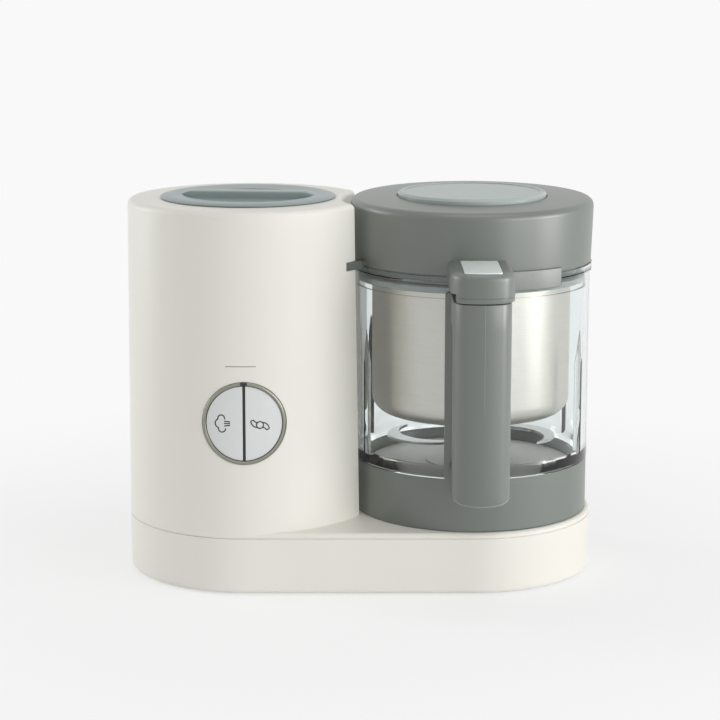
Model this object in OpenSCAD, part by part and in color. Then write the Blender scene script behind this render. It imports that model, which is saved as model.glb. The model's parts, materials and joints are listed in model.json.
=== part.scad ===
// Baby food maker: a steam tower and a glass blending jug stand side by side on an oval base.
// Millimetres, +Z up. The origin is at the bottom centre of the bounding box, the jug's handle
// points to -Y, the tower stands at -X and the jug at +X.

/* [Base] */
// Distance between the tower axis and the jug axis
axis_spacing = 139.4; // [138:0.2:160]
// Radius of the base ends and of the tower
base_r = 76.4; // [76:0.2:84]
// Wall of the plastic housings
wall = 2.6; // [2:0.2:3.2]
// Height of the parting line between the tub and the upper housing
seam_z = 36; // [34:1:46]
// Height of the deck above the parting line
deck_rise = 3; // [3:0.5:6]
// Height that the feet lift the tub off the table
foot_h = 0.8; // [0.6:0.1:4]
// Radius of a foot
foot_r = 7; // [5:0.5:9]
// Radius of the tub's bottom edge
tub_edge_r = 3.5; // [3:0.5:7]
// Depth of the fine groove along the parting line
seam_groove = 0.5; // [0.3:0.1:1]

/* [Tower] */
// How far the tower's top stands above the lid's
tower_over_lid = 0.9; // [0:0.1:12]
// How much narrower the tower's radius is at its top than at the deck
tower_draft = 1.6; // [0.4:0.2:3]
// Radius of the tower's top edge
tower_edge_r = 3.5; // [2:0.5:5]
// Gap between the jug and the tower at the deck
bite_gap = 3.4; // [3:0.2:6]
// How far the tower's hollow side leans back over its height
bite_draft = 3.5; // [0.5:0.5:4]
// Depth of the tank below the tower's top
tank_depth = 85; // [60:1:90]
// Radius of the tank cap
cap_r = 54.6; // [54:0.2:56]
// Thickness of the tank cap's rim
cap_t = 1.8; // [1.6:0.2:4]
// Half the length of the lens-shaped finger recess in the cap
recess_half_l = 42; // [34:1:44]
// Half the width of the finger recess
recess_half_w = 34; // [26:1:34]
// Width of the grip bar across the recess
cap_bar_w = 13; // [8:0.5:16]

/* [Controls] */
// Height of the control ring's centre above the deck
control_h = 68.3; // [60:1:74]
// Outer radius of the control ring
bezel_r = 25.3; // [20:0.5:27]
// Width of the control ring's band
bezel_band = 2.2; // [1.6:0.2:3]
// Width of the bar between the two buttons
divider_w = 1.1; // [0.8:0.1:2]
// Travel of each button
button_travel = 1.5; // [0.8:0.1:1.8]

/* [Jug] */
// Outer radius of the glass jug
jug_r = 74; // [72:0.5:75]
// Wall of the glass
glass_t = 4; // [3:0.5:5]
// Height of the jug's base ring
ring_h = 33; // [31:1:38]
// Height of the glass above the base ring
glass_h = 124; // [120:1:130]
// How far the glass flange stands out
flange_out = 1; // [0.6:0.2:2]
// Number of vertical ribs inside the glass, in mirrored pairs
rib_pairs = 2; // [1:1:3]
// Radius swept by the blade
blade_r = 56; // [40:1:60]

/* [Basket] */
// Gap between the glass and the steaming basket
basket_gap = 8; // [7:0.5:16]
// Room between the blade hub and the basket's floor
blade_room = 10.6; // [4:0.2:30]
// Number of rings of steam holes in the basket's floor
hole_rings = 4; // [2:1:5]
// Thickness of the basket's steel sheet
sheet_t = 0.8; // [0.6:0.1:1.2]

/* [Handle] */
// Reach of the handle in front of the jug axis
handle_reach = 126; // [118:1:140]
// Width of the grip
grip_w = 34; // [26:1:36]
// Thickness of the grip from front to back
grip_t = 22; // [16:1:24]
// Width of the rail that carries the grip
rail_w = 38; // [37:0.2:42]

/* [Lid] */
// Height of the lid
lid_h = 37.7; // [34:1:44]
// How far the lid's wall stands out past the glass
lid_out = 1.6; // [0.6:0.2:2]
// Radius of the lid's top edge
lid_edge_r = 4.5; // [3:0.5:6]
// Radius of the filling hole in the lid
fill_hole_r = 40; // [30:1:41]
// Radius of the disc that closes the filling hole
disc_r = 46.3; // [44:0.5:50]
// Height of the disc above the lid
disc_h = 3.9; // [3:0.2:5]
// Width of the latch button
latch_w = 22.2; // [16:0.2:26]
// Travel of the latch button
latch_travel = 2.4; // [1:0.2:2.8]

/* [Hidden] */
$fn = 96;

// Clearances
seat = 0.2;
clear = 0.4;
shaft_clear = 0.05;
cut = 1;

// Colours, as the photograph shows them
body_c = "#E9E7E1";
green_c = "#7E857F";
cap_c = "#A9B6B4";
disc_c = "#B9C5C3";
steel_c = "#B7BABC";
glass_c = "#D5E2E4";
rubber_c = "#3A3C3C";
button_c = "#CDD0D1";
bezel_c = "#8A8A7E";
brass_c = "#B79B5B";
board_c = "#3E6B4A";

// Heights from the table up
floor_z = foot_h + wall;
deck_z = seam_z + deck_rise;
ring_top_z = deck_z + ring_h;
rim_z = ring_top_z + glass_h;
lid_z = rim_z + clear;
lid_top_z = lid_z + lid_h;
tower_top_z = lid_top_z + tower_over_lid;
tower_h = tower_top_z - deck_z;
control_z = deck_z + control_h;

// Plan of the base: the handle reaches forward, the cord gland backward
gland_out = 4;
tower_x = -axis_spacing / 2;
jug_x = axis_spacing / 2;
axis_y = (handle_reach - base_r - gland_out) / 2;

// Base screws stand in bosses beside the wall
boss_r = 5;
boss_at = base_r - wall - boss_r - 2;
boss_web = 6;
boss_angles = [135, 225, -45, 45];
screw_r = 1.95;
screw_head_r = 3.8;
screw_head_h = 2.5;
screw_bite = 1.9;
screw_recess = 4;
foot_at = 52;
foot_sink = 1;

// Cord gland and vents in the flat back wall
gland_r = 8;
gland_flange_r = 11;
gland_flange_t = 2;
gland_bore_r = 3.6;
gland_bore_l = 10;
gland_l = 11;
gland_aside = 20;
gland_x = tower_x + gland_aside;
gland_z = 20;
vent_count = 9;
vent_w = 3;
vent_h = 16;
vent_pitch = 6;
vent_x = 10;
vent_z = 12;

// The tower's hollow side, and the groove in it for the interlock
bite_r = jug_r + bite_gap;
groove_z = rim_z - 1.5;
groove_h = 5.5;
groove_r = bite_r + 8.2;
pocket_r = groove_r + 3.6;
pocket_start = 197;
pocket_sweep = 20;

// Steam outlet
steam_up = 16;
steam_z = rim_z + steam_up;
nozzle_r = 5;
nozzle_bore_r = 2.6;
nozzle_flange_r = 8;
nozzle_flange_t = 2;
bite_at_steam = bite_r + bite_draft * (steam_z - deck_z) / (tower_h - tower_edge_r);
nozzle_back_x = jug_x - bite_at_steam - wall - seat - nozzle_flange_t;
pipe_r = 3.4;
pipe_bore_r = 2.4;

// Tank and cap
tank_t = 1.2;
tank_r = axis_spacing - groove_r - 2 * wall;
tank_out_r = tank_r + tank_t;
tank_flange_r = tank_r + 4;
tank_z = tower_top_z - tank_depth;
cap_z = tower_top_z + 0.3;
cap_top_z = cap_z + cap_t;
plug_r = tank_r - 1.5;
plug_depth = 9;
recess_depth = 3;
cap_bar_up = -0.2;
seal_t = 3;
element_r = 3.6;

// Controls
bezel_in_r = bezel_r - bezel_band;
bezel_proud = 0.3;
button_r = bezel_in_r - 0.3;
well_deep = 16;
well_y = base_r - well_deep;
button_back_y = well_y + 4;
board_t = 1.6;
switch_l = button_back_y - well_y - button_travel - seat;
light_w = 3.2;
light_deep = 6;
switch_w = 8;

// Jug
ring_r = jug_r - 0.4;
ring_t = 3;
ring_floor_z = ring_top_z - 15;
ring_floor_t = 4;
glass_foot_z = ring_floor_z + ring_floor_t + seat;
neck_r = ring_r - ring_t - seat;
glass_floor_z = glass_foot_z + 4;
glass_in_r = jug_r - glass_t;
ledge_z = rim_z - 13.6;
mouth_r = glass_in_r + 1.4;
flange_r = jug_r + flange_out;
flange_h = 4.6;
rib_r = 3.2;
rib_foot = 6;
rib_drop = 36;
rib_taper = 24;
rib_top_z = rim_z - rib_drop;
rib_turn = 25;
locate_r = 30;
locate_h = 3;
drive_hole_r = 16;

// Drive
motor_r = 34;
mount_t = 6;
mount_h = 10;
shaft_foot = 5;
motor_top_z = seam_z - 4;
motor_shaft_r = 4;
drive_z = seam_z + 1.5;
drive_h = deck_z + 9 - drive_z;
drive_l = 20;
drive_w = 5;
drive_hub_r = 6.5;
driven_r = 14;
driven_z = deck_z + 2.5;
driven_h = 11;
driven_top = 4;
blade_shaft_r = 3;
bushing_r = 12;
nut_r = 18;
plate_mid_r = 0.6 * jug_r;
plate_top_r = 0.38 * jug_r;
nut_h = 4;
bushing_top_z = glass_floor_z + 13;
hub_r = 7.5;
hub_z = bushing_top_z + 0.6;
hub_h = 11;
blade_t = 1.6;
blade_step = 6;

// Basket
basket_r = glass_in_r - basket_gap;
basket_z = hub_z + hub_h + blade_room;
basket_corner_r = 11;
steam_hole_r = 1.6;
steam_hole_pitch = 9;
basket_top_z = ledge_z + 4.6;
basket_rim_r = mouth_r - clear;
basket_rim_h = 6.6;

// Handle
rail_in_r = jug_r + 0.3;
rail_t = 6;
rail_out_r = rail_in_r + rail_t;
rail_z = ring_top_z - 6;
grip_z = ring_top_z - 7.5;
grip_top_z = rim_z - 7.9;
skirt_z = rim_z - 8.3;
rail_top_z = skirt_z - clear;
rail_corner_r = 9;
rail_top_corner_r = 3;
grip_corner_r = 14;
grip_front_r = 30;
bridge_h = 16;
handle_screw_z = [grip_z + bridge_h / 2, grip_top_z - bridge_h / 2];
finger_r = 8;

// Lid
lid_r = jug_r + lid_out;
lid_foot_r = lid_r - 1.2;
lid_crown = 0.8;
lid_t = 3.2;
lid_in_r = lid_r - lid_t;
lid_lip_r = lid_foot_r - 0.8;
web_z = rim_z + 2;
web_t = 2;
plug_ring_r = mouth_r - 5.4;
lug_w = rail_w - 0.4;
lug_front_r = 36;
lug_z = grip_top_z + clear;
lug_top_z = rim_z + 10;
lug_corner_r = 6;
latch_l = handle_reach - lid_r - 0.4;
latch_t = 3.6;
latch_proud = 0.4;
latch_y = -handle_reach + 2.4;
skirt_r = flange_r + 0.6;
skirt_t = 1.5;
skirt_start = -78;
skirt_sweep = 31;
catch_start = 199;
catch_sweep = 8;
disc_seat_z = lid_top_z + lid_crown + seat;
disc_skirt_r = fill_hole_r - clear;
disc_skirt_h = 8;

// Radius of the tower's wall at height z
function tower_r(z) = base_r - tower_draft * (z - deck_z) / tower_h;

module tower_frame() {
  translate([tower_x, axis_y, 0]) children();
}

module jug_frame() {
  translate([jug_x, axis_y, 0]) children();
}

// Half outline of a round body: radius r from z0 to z1, with rounded bottom and top edges
module edge_profile(r, z0, z1, bottom_r, top_r) {
  intersection() {
    translate([0, z0]) square([r, z1 - z0]);
    union() {
      translate([0, z0 + bottom_r]) square([r, z1 - z0 - bottom_r - top_r]);
      translate([0, z0]) square([r - bottom_r, z1 - z0 - top_r]);
      translate([0, z0 + bottom_r]) square([r - top_r, z1 - z0 - bottom_r]);
      if (bottom_r > 0) translate([r - bottom_r, z0 + bottom_r]) circle(bottom_r);
      if (top_r > 0) translate([r - top_r, z1 - top_r]) circle(top_r);
    }
  }
}

// Oval solid over both axes
module oval(r, z0, z1, bottom_r = 0, top_r = 0) {
  for (side = [-1, 1])
    translate([side * jug_x, axis_y, 0])
      rotate([0, 0, -90 * side])
        rotate_extrude(angle = 180) edge_profile(r, z0, z1, bottom_r, top_r);
  translate([tower_x, axis_y, 0])
    rotate([90, 0, 90])
      linear_extrude(axis_spacing)
        for (flip = [0, 1]) mirror([flip, 0]) edge_profile(r, z0, z1, bottom_r, top_r);
}

module tube(outer_r, inner_r, h) {
  difference() {
    cylinder(r = outer_r, h = h);
    translate([0, 0, -cut]) cylinder(r = inner_r, h = h + 2 * cut);
  }
}

// Rectangle from a to b with all four corners rounded
module rounded_rect(a, b, r) {
  translate([a[0] + r, a[1]]) square([b[0] - a[0] - 2 * r, b[1] - a[1]]);
  translate([a[0], a[1] + r]) square([b[0] - a[0], b[1] - a[1] - 2 * r]);
  for (x = [a[0] + r, b[0] - r], y = [a[1] + r, b[1] - r]) translate([x, y]) circle(r);
}

// Extrudes a front view (x, z) from y0 to y1
module along_y(y0, y1) {
  translate([0, y1, 0]) rotate([90, 0, 0]) linear_extrude(y1 - y0) children();
}

// Extrudes a side view (y, z) to both sides of x = 0
module along_x(half_w) {
  translate([-half_w, 0, 0]) rotate([90, 0, 90]) linear_extrude(2 * half_w) children();
}

module at_bosses() {
  for (angle = boss_angles) at_boss(angle) children();
}

module at_boss(angle) {
  translate([cos(angle) < 0 ? tower_x : jug_x, axis_y, 0])
    rotate([0, 0, angle]) translate([boss_at, 0, 0]) children();
}

module at_foot(i) {
  translate([(i < 2 ? tower_x : jug_x), axis_y + (i % 2 == 0 ? -foot_at : foot_at), 0]) children();
}

// ---- Base ----

module tub_vents() {
  for (i = [0 : vent_count - 1])
    translate([vent_x + i * vent_pitch, axis_y + base_r - 2 * wall, vent_z])
      cube([vent_w, 3 * wall, vent_h]);
}

module base_tub() color(body_c)
  difference() {
    union() {
      difference() {
        union() {
          oval(base_r, foot_h, seam_z - seam_groove, tub_edge_r);
          oval(base_r - seam_groove, foot_h + tub_edge_r, seam_z);
        }
        oval(base_r - wall, floor_z, seam_z + cut, tub_edge_r - wall / 2);
      }
      at_bosses() translate([0, 0, foot_h + cut]) cylinder(r = boss_r, h = seam_z - foot_h - cut);
    }
    at_bosses() {
      translate([0, 0, -cut]) cylinder(r = screw_r + shaft_clear, h = seam_z + 2 * cut);
      translate([0, 0, -cut]) cylinder(r = screw_head_r + seat, h = foot_h + screw_recess + cut);
    }
    for (i = [0 : 3]) at_foot(i) translate([0, 0, -cut])
      cylinder(r = foot_r + seat, h = foot_h + foot_sink + cut);
    translate([gland_x, axis_y + base_r - 2 * wall, gland_z])
      rotate([-90, 0, 0]) cylinder(r = gland_r + seat, h = 3 * wall);
    tub_vents();
  }

module foot(i) color(rubber_c)
  at_foot(i) cylinder(r = foot_r, h = foot_h + foot_sink);

module base_screw(i) color(steel_c)
  at_boss(boss_angles[i]) {
    translate([0, 0, foot_h + screw_recess - screw_head_h]) cylinder(r = screw_head_r, h = screw_head_h);
    translate([0, 0, foot_h + screw_recess - cut])
      cylinder(r = screw_r, h = seam_z + screw_bite - foot_h - screw_recess + cut);
  }

module cord_gland() color(rubber_c)
  translate([gland_x, axis_y + base_r + gland_out, gland_z]) rotate([90, 0, 0])
    difference() {
      union() {
        cylinder(r = gland_r, h = gland_l);
        translate([0, 0, gland_out - seat - gland_flange_t]) cylinder(r = gland_flange_r, h = gland_flange_t);
        translate([0, 0, gland_out + wall + seat]) cylinder(r = gland_flange_r - cut, h = gland_flange_t);
      }
      translate([0, 0, -cut]) cylinder(r = gland_bore_r, h = gland_bore_l + cut);
    }

// ---- Tower ----

module bite(extra_r) {
  jug_frame() translate([0, 0, deck_z])
    cylinder(r1 = bite_r + extra_r, r2 = bite_r + bite_draft + extra_r, h = tower_h - tower_edge_r);
  if (extra_r > 0) jug_frame() translate([0, 0, tower_top_z - tower_edge_r - cut])
    cylinder(r = bite_r + bite_draft + tower_edge_r, h = tower_edge_r + cut);
}

// What the jug's hollow takes from the tower, with a rounded edge at the top
module bite_cutter() {
  shoulder_z = tower_top_z - tower_edge_r;
  jug_frame() rotate_extrude() {
    polygon([[0, deck_z], [bite_r, deck_z], [bite_r + bite_draft, shoulder_z], [0, shoulder_z]]);
    difference() {
      translate([0, shoulder_z]) square([bite_r + bite_draft + tower_edge_r, tower_edge_r + cut]);
      translate([bite_r + bite_draft + tower_edge_r, shoulder_z]) circle(tower_edge_r);
    }
  }
}

module tower_outline() {
  top_r = tower_r(tower_top_z - tower_edge_r);
  polygon([
    [0, seam_z], [base_r, seam_z], [base_r, deck_z], [top_r, tower_top_z - tower_edge_r],
    [top_r - tower_edge_r, tower_top_z], [0, tower_top_z]
  ]);
  translate([top_r - tower_edge_r, tower_top_z - tower_edge_r]) circle(tower_edge_r);
}

module groove_pocket(outer_r, z0, h, spread) {
  jug_frame() rotate([0, 0, pocket_start - spread]) rotate_extrude(angle = pocket_sweep + 2 * spread)
    translate([bite_r, z0]) square([outer_r - bite_r, h]);
}

module tower_cavity() {
  difference() {
    tower_frame() rotate_extrude() polygon([
      [0, seam_z - cut], [base_r - wall, seam_z - cut], [base_r - wall, deck_z],
      [tower_r(tower_top_z) - wall, tower_top_z - wall - cut],
      [tower_r(tower_top_z) - wall - cut, tower_top_z - wall], [0, tower_top_z - wall]
    ]);
    bite(wall);
    groove_pocket(pocket_r + wall, groove_z - 2 * wall, groove_h + 4 * wall, 3);
    jug_frame() translate([0, 0, seam_z - 2 * cut]) cylinder(r = bite_r + wall, h = deck_rise + 3 * cut);
    jug_frame() translate([0, 0, groove_z - wall]) cylinder(r = groove_r + wall, h = groove_h + 2 * wall);
    at_bosses() translate([0, 0, seam_z - cut]) {
      cylinder(r = boss_r, h = 3 * deck_rise);
      translate([0, -boss_web / 2, 0]) cube([base_r - boss_at, boss_web, 3 * deck_rise]);
    }
  }
}

module upper_housing() color(body_c)
  difference() {
    union() {
      oval(base_r, seam_z, deck_z, 0, deck_rise - 0.4);
      difference() {
        tower_frame() rotate_extrude() tower_outline();
        bite_cutter();
      }
      jug_frame() translate([0, 0, deck_z - cut]) cylinder(r = locate_r, h = locate_h + cut);
    }
    tower_cavity();
    jug_frame() translate([0, 0, groove_z]) cylinder(r = groove_r, h = groove_h);
    groove_pocket(pocket_r, groove_z, groove_h, 0);
    jug_frame() translate([0, 0, seam_z - cut]) cylinder(r = drive_hole_r, h = deck_rise + locate_h + 2 * cut);
    tower_frame() translate([0, 0, tower_top_z - 2 * wall]) cylinder(r = tank_out_r + 0.3, h = 3 * wall);
    tower_frame() translate([0, -base_r - cut, control_z])
      rotate([-90, 0, 0]) cylinder(r = bezel_r + seat, h = base_r - well_y);
    translate([nozzle_back_x, axis_y, steam_z]) rotate([0, 90, 0]) cylinder(r = nozzle_r + seat, h = 4 * wall);
    at_bosses() translate([0, 0, seam_z - cut]) cylinder(r = screw_r + shaft_clear, h = screw_bite + seat + cut);
  }

module boiler_tank() color(steel_c)
  difference() {
    tower_frame() {
      difference() {
        rotate_extrude() edge_profile(tank_out_r, tank_z, tower_top_z - seat, 4, 0);
        rotate_extrude() edge_profile(tank_r, tank_z + tank_t, tower_top_z + cut, 3, 0);
      }
      translate([0, 0, tower_top_z - wall - seat - tank_t])
        tube(tank_flange_r, tank_r + tank_t / 2, tank_t);
    }
    translate([tower_x + tank_r - 2 * cut, axis_y, steam_z])
      rotate([0, 90, 0]) cylinder(r = pipe_bore_r, h = 4 * cut);
  }

module heating_element() color(brass_c)
  tower_frame() translate([0, 0, tank_z - element_r - seat])
    rotate_extrude() translate([tank_r * 0.72, 0]) circle(element_r, $fn = 32);

module thermostat() color(steel_c)
  tower_frame() translate([0, 0, tank_z - seat - 6]) {
    translate([0, 0, 3]) cylinder(r = 9, h = 3);
    cylinder(r = 6.5, h = 3);
  }

module steam_pipe() color(steel_c)
  translate([tower_x + tank_out_r + seat, axis_y, steam_z]) rotate([0, 90, 0])
    tube(pipe_r, pipe_bore_r, nozzle_back_x - tower_x - tank_out_r - 2 * seat);

module steam_nozzle() color(rubber_c)
  translate([nozzle_back_x, axis_y, steam_z]) rotate([0, 90, 0])
    difference() {
      union() {
        cylinder(r = nozzle_flange_r, h = nozzle_flange_t);
        cylinder(r = nozzle_r, h = jug_x - flange_r - 2 * clear - nozzle_back_x);
      }
      translate([0, 0, -cut]) cylinder(r = nozzle_bore_r, h = base_r);
    }

// ---- Controls ----

// A bar along Y through the control ring's centre, cut proud of the tower's wall
module on_front(proud, back_y) {
  low_z = control_z - bezel_r - 2 * cut;
  high_z = control_z + bezel_r + 2 * cut;
  tower_frame() intersection() {
    translate([0, 0, low_z])
      cylinder(r1 = tower_r(low_z) + proud, r2 = tower_r(high_z) + proud, h = high_z - low_z);
    translate([0, -base_r - cut, control_z])
      rotate([-90, 0, 0]) linear_extrude(base_r + cut - back_y) children();
  }
}

module control_bezel() color(bezel_c)
  difference() {
    on_front(bezel_proud, well_y) {
      difference() {
        circle(bezel_r);
        circle(bezel_in_r);
      }
      square([divider_w, 2 * bezel_in_r + bezel_band], center = true);
    }
    tower_frame() translate([-light_w / 2 - 0.1, -base_r - cut, control_z + bezel_in_r + 0.2])
      cube([light_w + 0.2, light_deep, bezel_band - 0.4]);
  }

module status_light() color("#22303A")
  tower_frame() intersection() {
    translate([-light_w / 2, -base_r - cut, control_z + bezel_in_r + 0.3])
      cube([light_w, light_deep - 0.1, bezel_band - 0.6]);
    translate([0, 0, control_z]) cylinder(r = tower_r(control_z + bezel_r) + bezel_proud, h = 2 * bezel_r);
  }

module half_disc(side) {
  intersection() {
    circle(button_r);
    translate([side > 0 ? divider_w / 2 + 0.3 : -divider_w / 2 - 0.3 - button_r, -button_r])
      square([button_r, 2 * button_r]);
  }
}

module push_button(side) color(button_c)
  on_front(-0.1, button_back_y) half_disc(side);

module control_board() color(board_c)
  tower_frame() translate([-bezel_r, -well_y, control_z - bezel_r]) cube([2 * bezel_r, board_t, 2 * bezel_r]);

module button_switch(side) color(rubber_c)
  tower_frame() translate([side * button_r / 2 - switch_w / 2, -well_y - switch_l, control_z - switch_w / 2])
    cube([switch_w, switch_l, switch_w]);

module interlock_latch() color(green_c)
  jug_frame() translate([0, 0, groove_z + seat]) rotate([0, 0, pocket_start + 2])
    rotate_extrude(angle = catch_sweep) translate([flange_r + 1.4, 0])
      square([pocket_r - flange_r - 1.4 - seat, groove_h - 2 * seat]);

// ---- Drive ----

module motor_mount() color(rubber_c)
  jug_frame() translate([0, 0, floor_z]) tube(motor_r + mount_t, motor_r + seat, mount_h);

module motor_body() color(steel_c)
  jug_frame() difference() {
    union() {
      translate([0, 0, floor_z]) cylinder(r = motor_r, h = motor_top_z - floor_z);
      cylinder_boss(motor_r / 2, motor_top_z - cut, motor_top_z + 2);
    }
    translate([0, 0, floor_z + shaft_foot]) cylinder(r = motor_shaft_r + shaft_clear, h = seam_z);
  }

module cylinder_boss(r, z0, z1) {
  translate([0, 0, z0]) cylinder(r = r, h = z1 - z0);
}

module motor_shaft() color(steel_c)
  jug_frame() cylinder_boss(motor_shaft_r, floor_z + shaft_foot + seat, drive_z + drive_h - cut);

module drive_cross(l, w, hub_r) {
  square([l, w], center = true);
  square([w, l], center = true);
  circle(hub_r);
}

module drive_coupling() color(rubber_c)
  jug_frame() difference() {
    translate([0, 0, drive_z]) linear_extrude(drive_h) drive_cross(drive_l, drive_w, drive_hub_r);
    cylinder_boss(motor_shaft_r + shaft_clear, drive_z - cut, drive_z + drive_h - cut + seat);
  }

module driven_coupling() color(rubber_c)
  jug_frame() difference() {
    cylinder_boss(driven_r, driven_z, driven_z + driven_h);
    translate([0, 0, driven_z - cut]) linear_extrude(driven_h - driven_top + cut)
      drive_cross(drive_l + 2 * clear, drive_w + 2 * clear, drive_hub_r + clear);
    cylinder_boss(blade_shaft_r + shaft_clear, driven_z, driven_z + driven_h + cut);
  }

// ---- Tank cap ----

// Lens from two arcs, half_l long and half_w wide
module lens(half_l, half_w, h) {
  arc_r = (half_l * half_l + half_w * half_w) / (2 * half_w);
  intersection() {
    translate([0, arc_r - half_w, 0]) cylinder(r = arc_r, h = h);
    translate([0, half_w - arc_r, 0]) cylinder(r = arc_r, h = h);
  }
}

module tank_cap() color(cap_c)
  tower_frame() {
    difference() {
      union() {
        rotate_extrude() edge_profile(cap_r, cap_z, cap_top_z, 0.6, 0.9);
        cylinder_boss(plug_r, cap_z - plug_depth, cap_z + cut);
      }
      translate([0, 0, cap_top_z - recess_depth]) lens(recess_half_l, recess_half_w, recess_depth + cut);
      cylinder_boss(plug_r - 2.4, cap_z - plug_depth - cut, cap_z - recess_depth);
      translate([0, 0, cap_z - plug_depth / 2 - seal_t / 2])
        tube(plug_r + cut, plug_r - 0.8, seal_t);
    }
    intersection() {
      translate([0, 0, cap_z - recess_depth]) lens(recess_half_l + cut, recess_half_w + cut, 2 * recess_depth + cap_t);
      along_x(recess_half_l + cut) rounded_rect([-cap_bar_w / 2, cap_top_z - recess_depth - 0.5], [cap_bar_w / 2, cap_top_z + cap_bar_up], 0.5);
    }
  }

module tank_seal() color(rubber_c)
  tower_frame() translate([0, 0, cap_z - plug_depth / 2 - seal_t / 2 + 0.1])
    tube(tank_r - 0.3, plug_r - 0.7, seal_t - 0.2);

// ---- Jug ----

module jug_base_ring() color(green_c)
  jug_frame() {
    difference() {
      rotate_extrude() edge_profile(ring_r, deck_z, ring_top_z, 0.8, 0);
      cylinder_boss(ring_r - ring_t, deck_z - cut, ring_floor_z);
      cylinder_boss(ring_r - ring_t, ring_floor_z + ring_floor_t, ring_top_z + cut);
      cylinder_boss(bushing_r + seat, deck_z, ring_top_z);
    }
    translate([0, 0, deck_z + seat]) tube(locate_r + 3, locate_r + clear, ring_floor_z - deck_z);
  }

module glass_outline() {
  polygon([
    [bushing_r + seat, glass_foot_z], [neck_r, glass_foot_z],
    [neck_r, ring_top_z + seat], [jug_r, ring_top_z + seat],
    [jug_r, rim_z - flange_h], [flange_r, rim_z - flange_h],
    [flange_r, rim_z - flange_h + 1], [flange_r - 0.7, rim_z - flange_h + 1.3],
    [flange_r, rim_z - flange_h + 1.6], [flange_r, rim_z],
    [mouth_r, rim_z], [mouth_r, ledge_z], [glass_in_r, ledge_z],
    [glass_in_r, ring_top_z + 8], [neck_r - glass_t, ring_top_z],
    [neck_r - glass_t, glass_floor_z], [bushing_r + seat, glass_floor_z]
  ]);
}

module jug_glass() color(glass_c, 0.35)
  jug_frame() {
    rotate_extrude() glass_outline();
    for (i = [0 : rib_pairs - 1], side = [-1, 1])
      rotate([0, 0, 180 * i + side * rib_turn]) translate([glass_in_r + rib_r / 3, 0, 0])
        rotate_extrude() polygon([
          [0, ring_top_z + rib_foot], [rib_r, ring_top_z + rib_foot], [rib_r, rib_top_z - rib_taper],
          [rib_r / 4, rib_top_z], [0, rib_top_z]
        ]);
  }

module shaft_bushing() color(steel_c)
  jug_frame() difference() {
    union() {
      cylinder_boss(bushing_r, ring_floor_z - nut_h, glass_floor_z + cut);
      cylinder_boss(bushing_r + 4, glass_floor_z, glass_floor_z + 3);
      cylinder_boss(hub_r, glass_floor_z, bushing_top_z);
    }
    cylinder_boss(blade_shaft_r + shaft_clear, deck_z, rim_z);
  }

module lock_nut() color(brass_c)
  jug_frame() difference() {
    translate([0, 0, ring_floor_z - nut_h]) cylinder(r = nut_r, h = nut_h, $fn = 6);
    cylinder_boss(bushing_r + shaft_clear, deck_z, ring_top_z);
  }

module blade_plate() color(steel_c)
  jug_frame() difference() {
    union() {
      cylinder_boss(neck_r - glass_t - cut, glass_floor_z, glass_floor_z + 1.2);
      cylinder_boss(plate_mid_r, glass_floor_z, glass_floor_z + 2.2);
      cylinder_boss(plate_top_r, glass_floor_z, glass_floor_z + 3.2);
    }
    cylinder_boss(bushing_r + 4 + seat, deck_z, rim_z);
  }

module blade_shaft() color(steel_c)
  jug_frame() cylinder_boss(blade_shaft_r, driven_z + driven_h - driven_top + seat, hub_z + hub_h - 2);

module blade_arm() {
  intersection() {
    circle(blade_r);
    difference() {
      translate([blade_r / 2, 0]) circle(blade_r / 2);
      translate([blade_r / 2 - 3, -blade_r / 6]) circle(blade_r / 2);
    }
  }
}

module blade() color(steel_c)
  jug_frame() difference() {
    for (i = [0, 1])
      translate([0, 0, hub_z + 1 + i * blade_step]) rotate([0, 0, 150 + 180 * i]) linear_extrude(blade_t) {
        blade_arm();
        circle(hub_r + 4);
      }
    cylinder_boss(hub_r + shaft_clear, hub_z, rim_z);
  }

module blade_hub() color(steel_c)
  jug_frame() difference() {
    rotate_extrude() edge_profile(hub_r, hub_z, hub_z + hub_h, 0, 2.5);
    cylinder_boss(blade_shaft_r + shaft_clear, hub_z - cut, hub_z + hub_h - 2 + seat);
  }

// ---- Handle ----

module handle_screw_holes(r, y0, y1) {
  for (z = handle_screw_z) translate([0, 0, z]) along_y(y0, y1) circle(r);
}

module rail_face() {
  rounded_rect([-rail_w / 2, rail_z], [rail_w / 2, rail_top_z - rail_corner_r], rail_corner_r);
  rounded_rect([-rail_w / 2, rail_z + 2 * rail_corner_r], [rail_w / 2, rail_top_z], rail_top_corner_r);
}

module handle_rail() color(green_c)
  jug_frame() difference() {
    intersection() {
      translate([0, 0, rail_z - cut]) tube(rail_out_r, rail_in_r, rail_top_z - rail_z + 2 * cut);
      along_y(-rail_out_r - cut, -rail_in_r / 2)
        rail_face();
    }
    handle_screw_holes(screw_r + shaft_clear, -rail_out_r - cut, -rail_in_r + cut);
    handle_screw_holes(screw_head_r + seat, -rail_in_r - 3, -rail_in_r + cut);
  }

// Plan of the grip or the lug: straight sides and a front crowned to radius front_r
module crowned_plan(w, front_r) {
  intersection() {
    rounded_rect([-w / 2, -handle_reach], [w / 2, 0], w / 5);
    union() {
      translate([0, front_r - handle_reach]) circle(front_r);
      translate([-w, front_r - handle_reach]) square([2 * w, handle_reach]);
    }
  }
}

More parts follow.
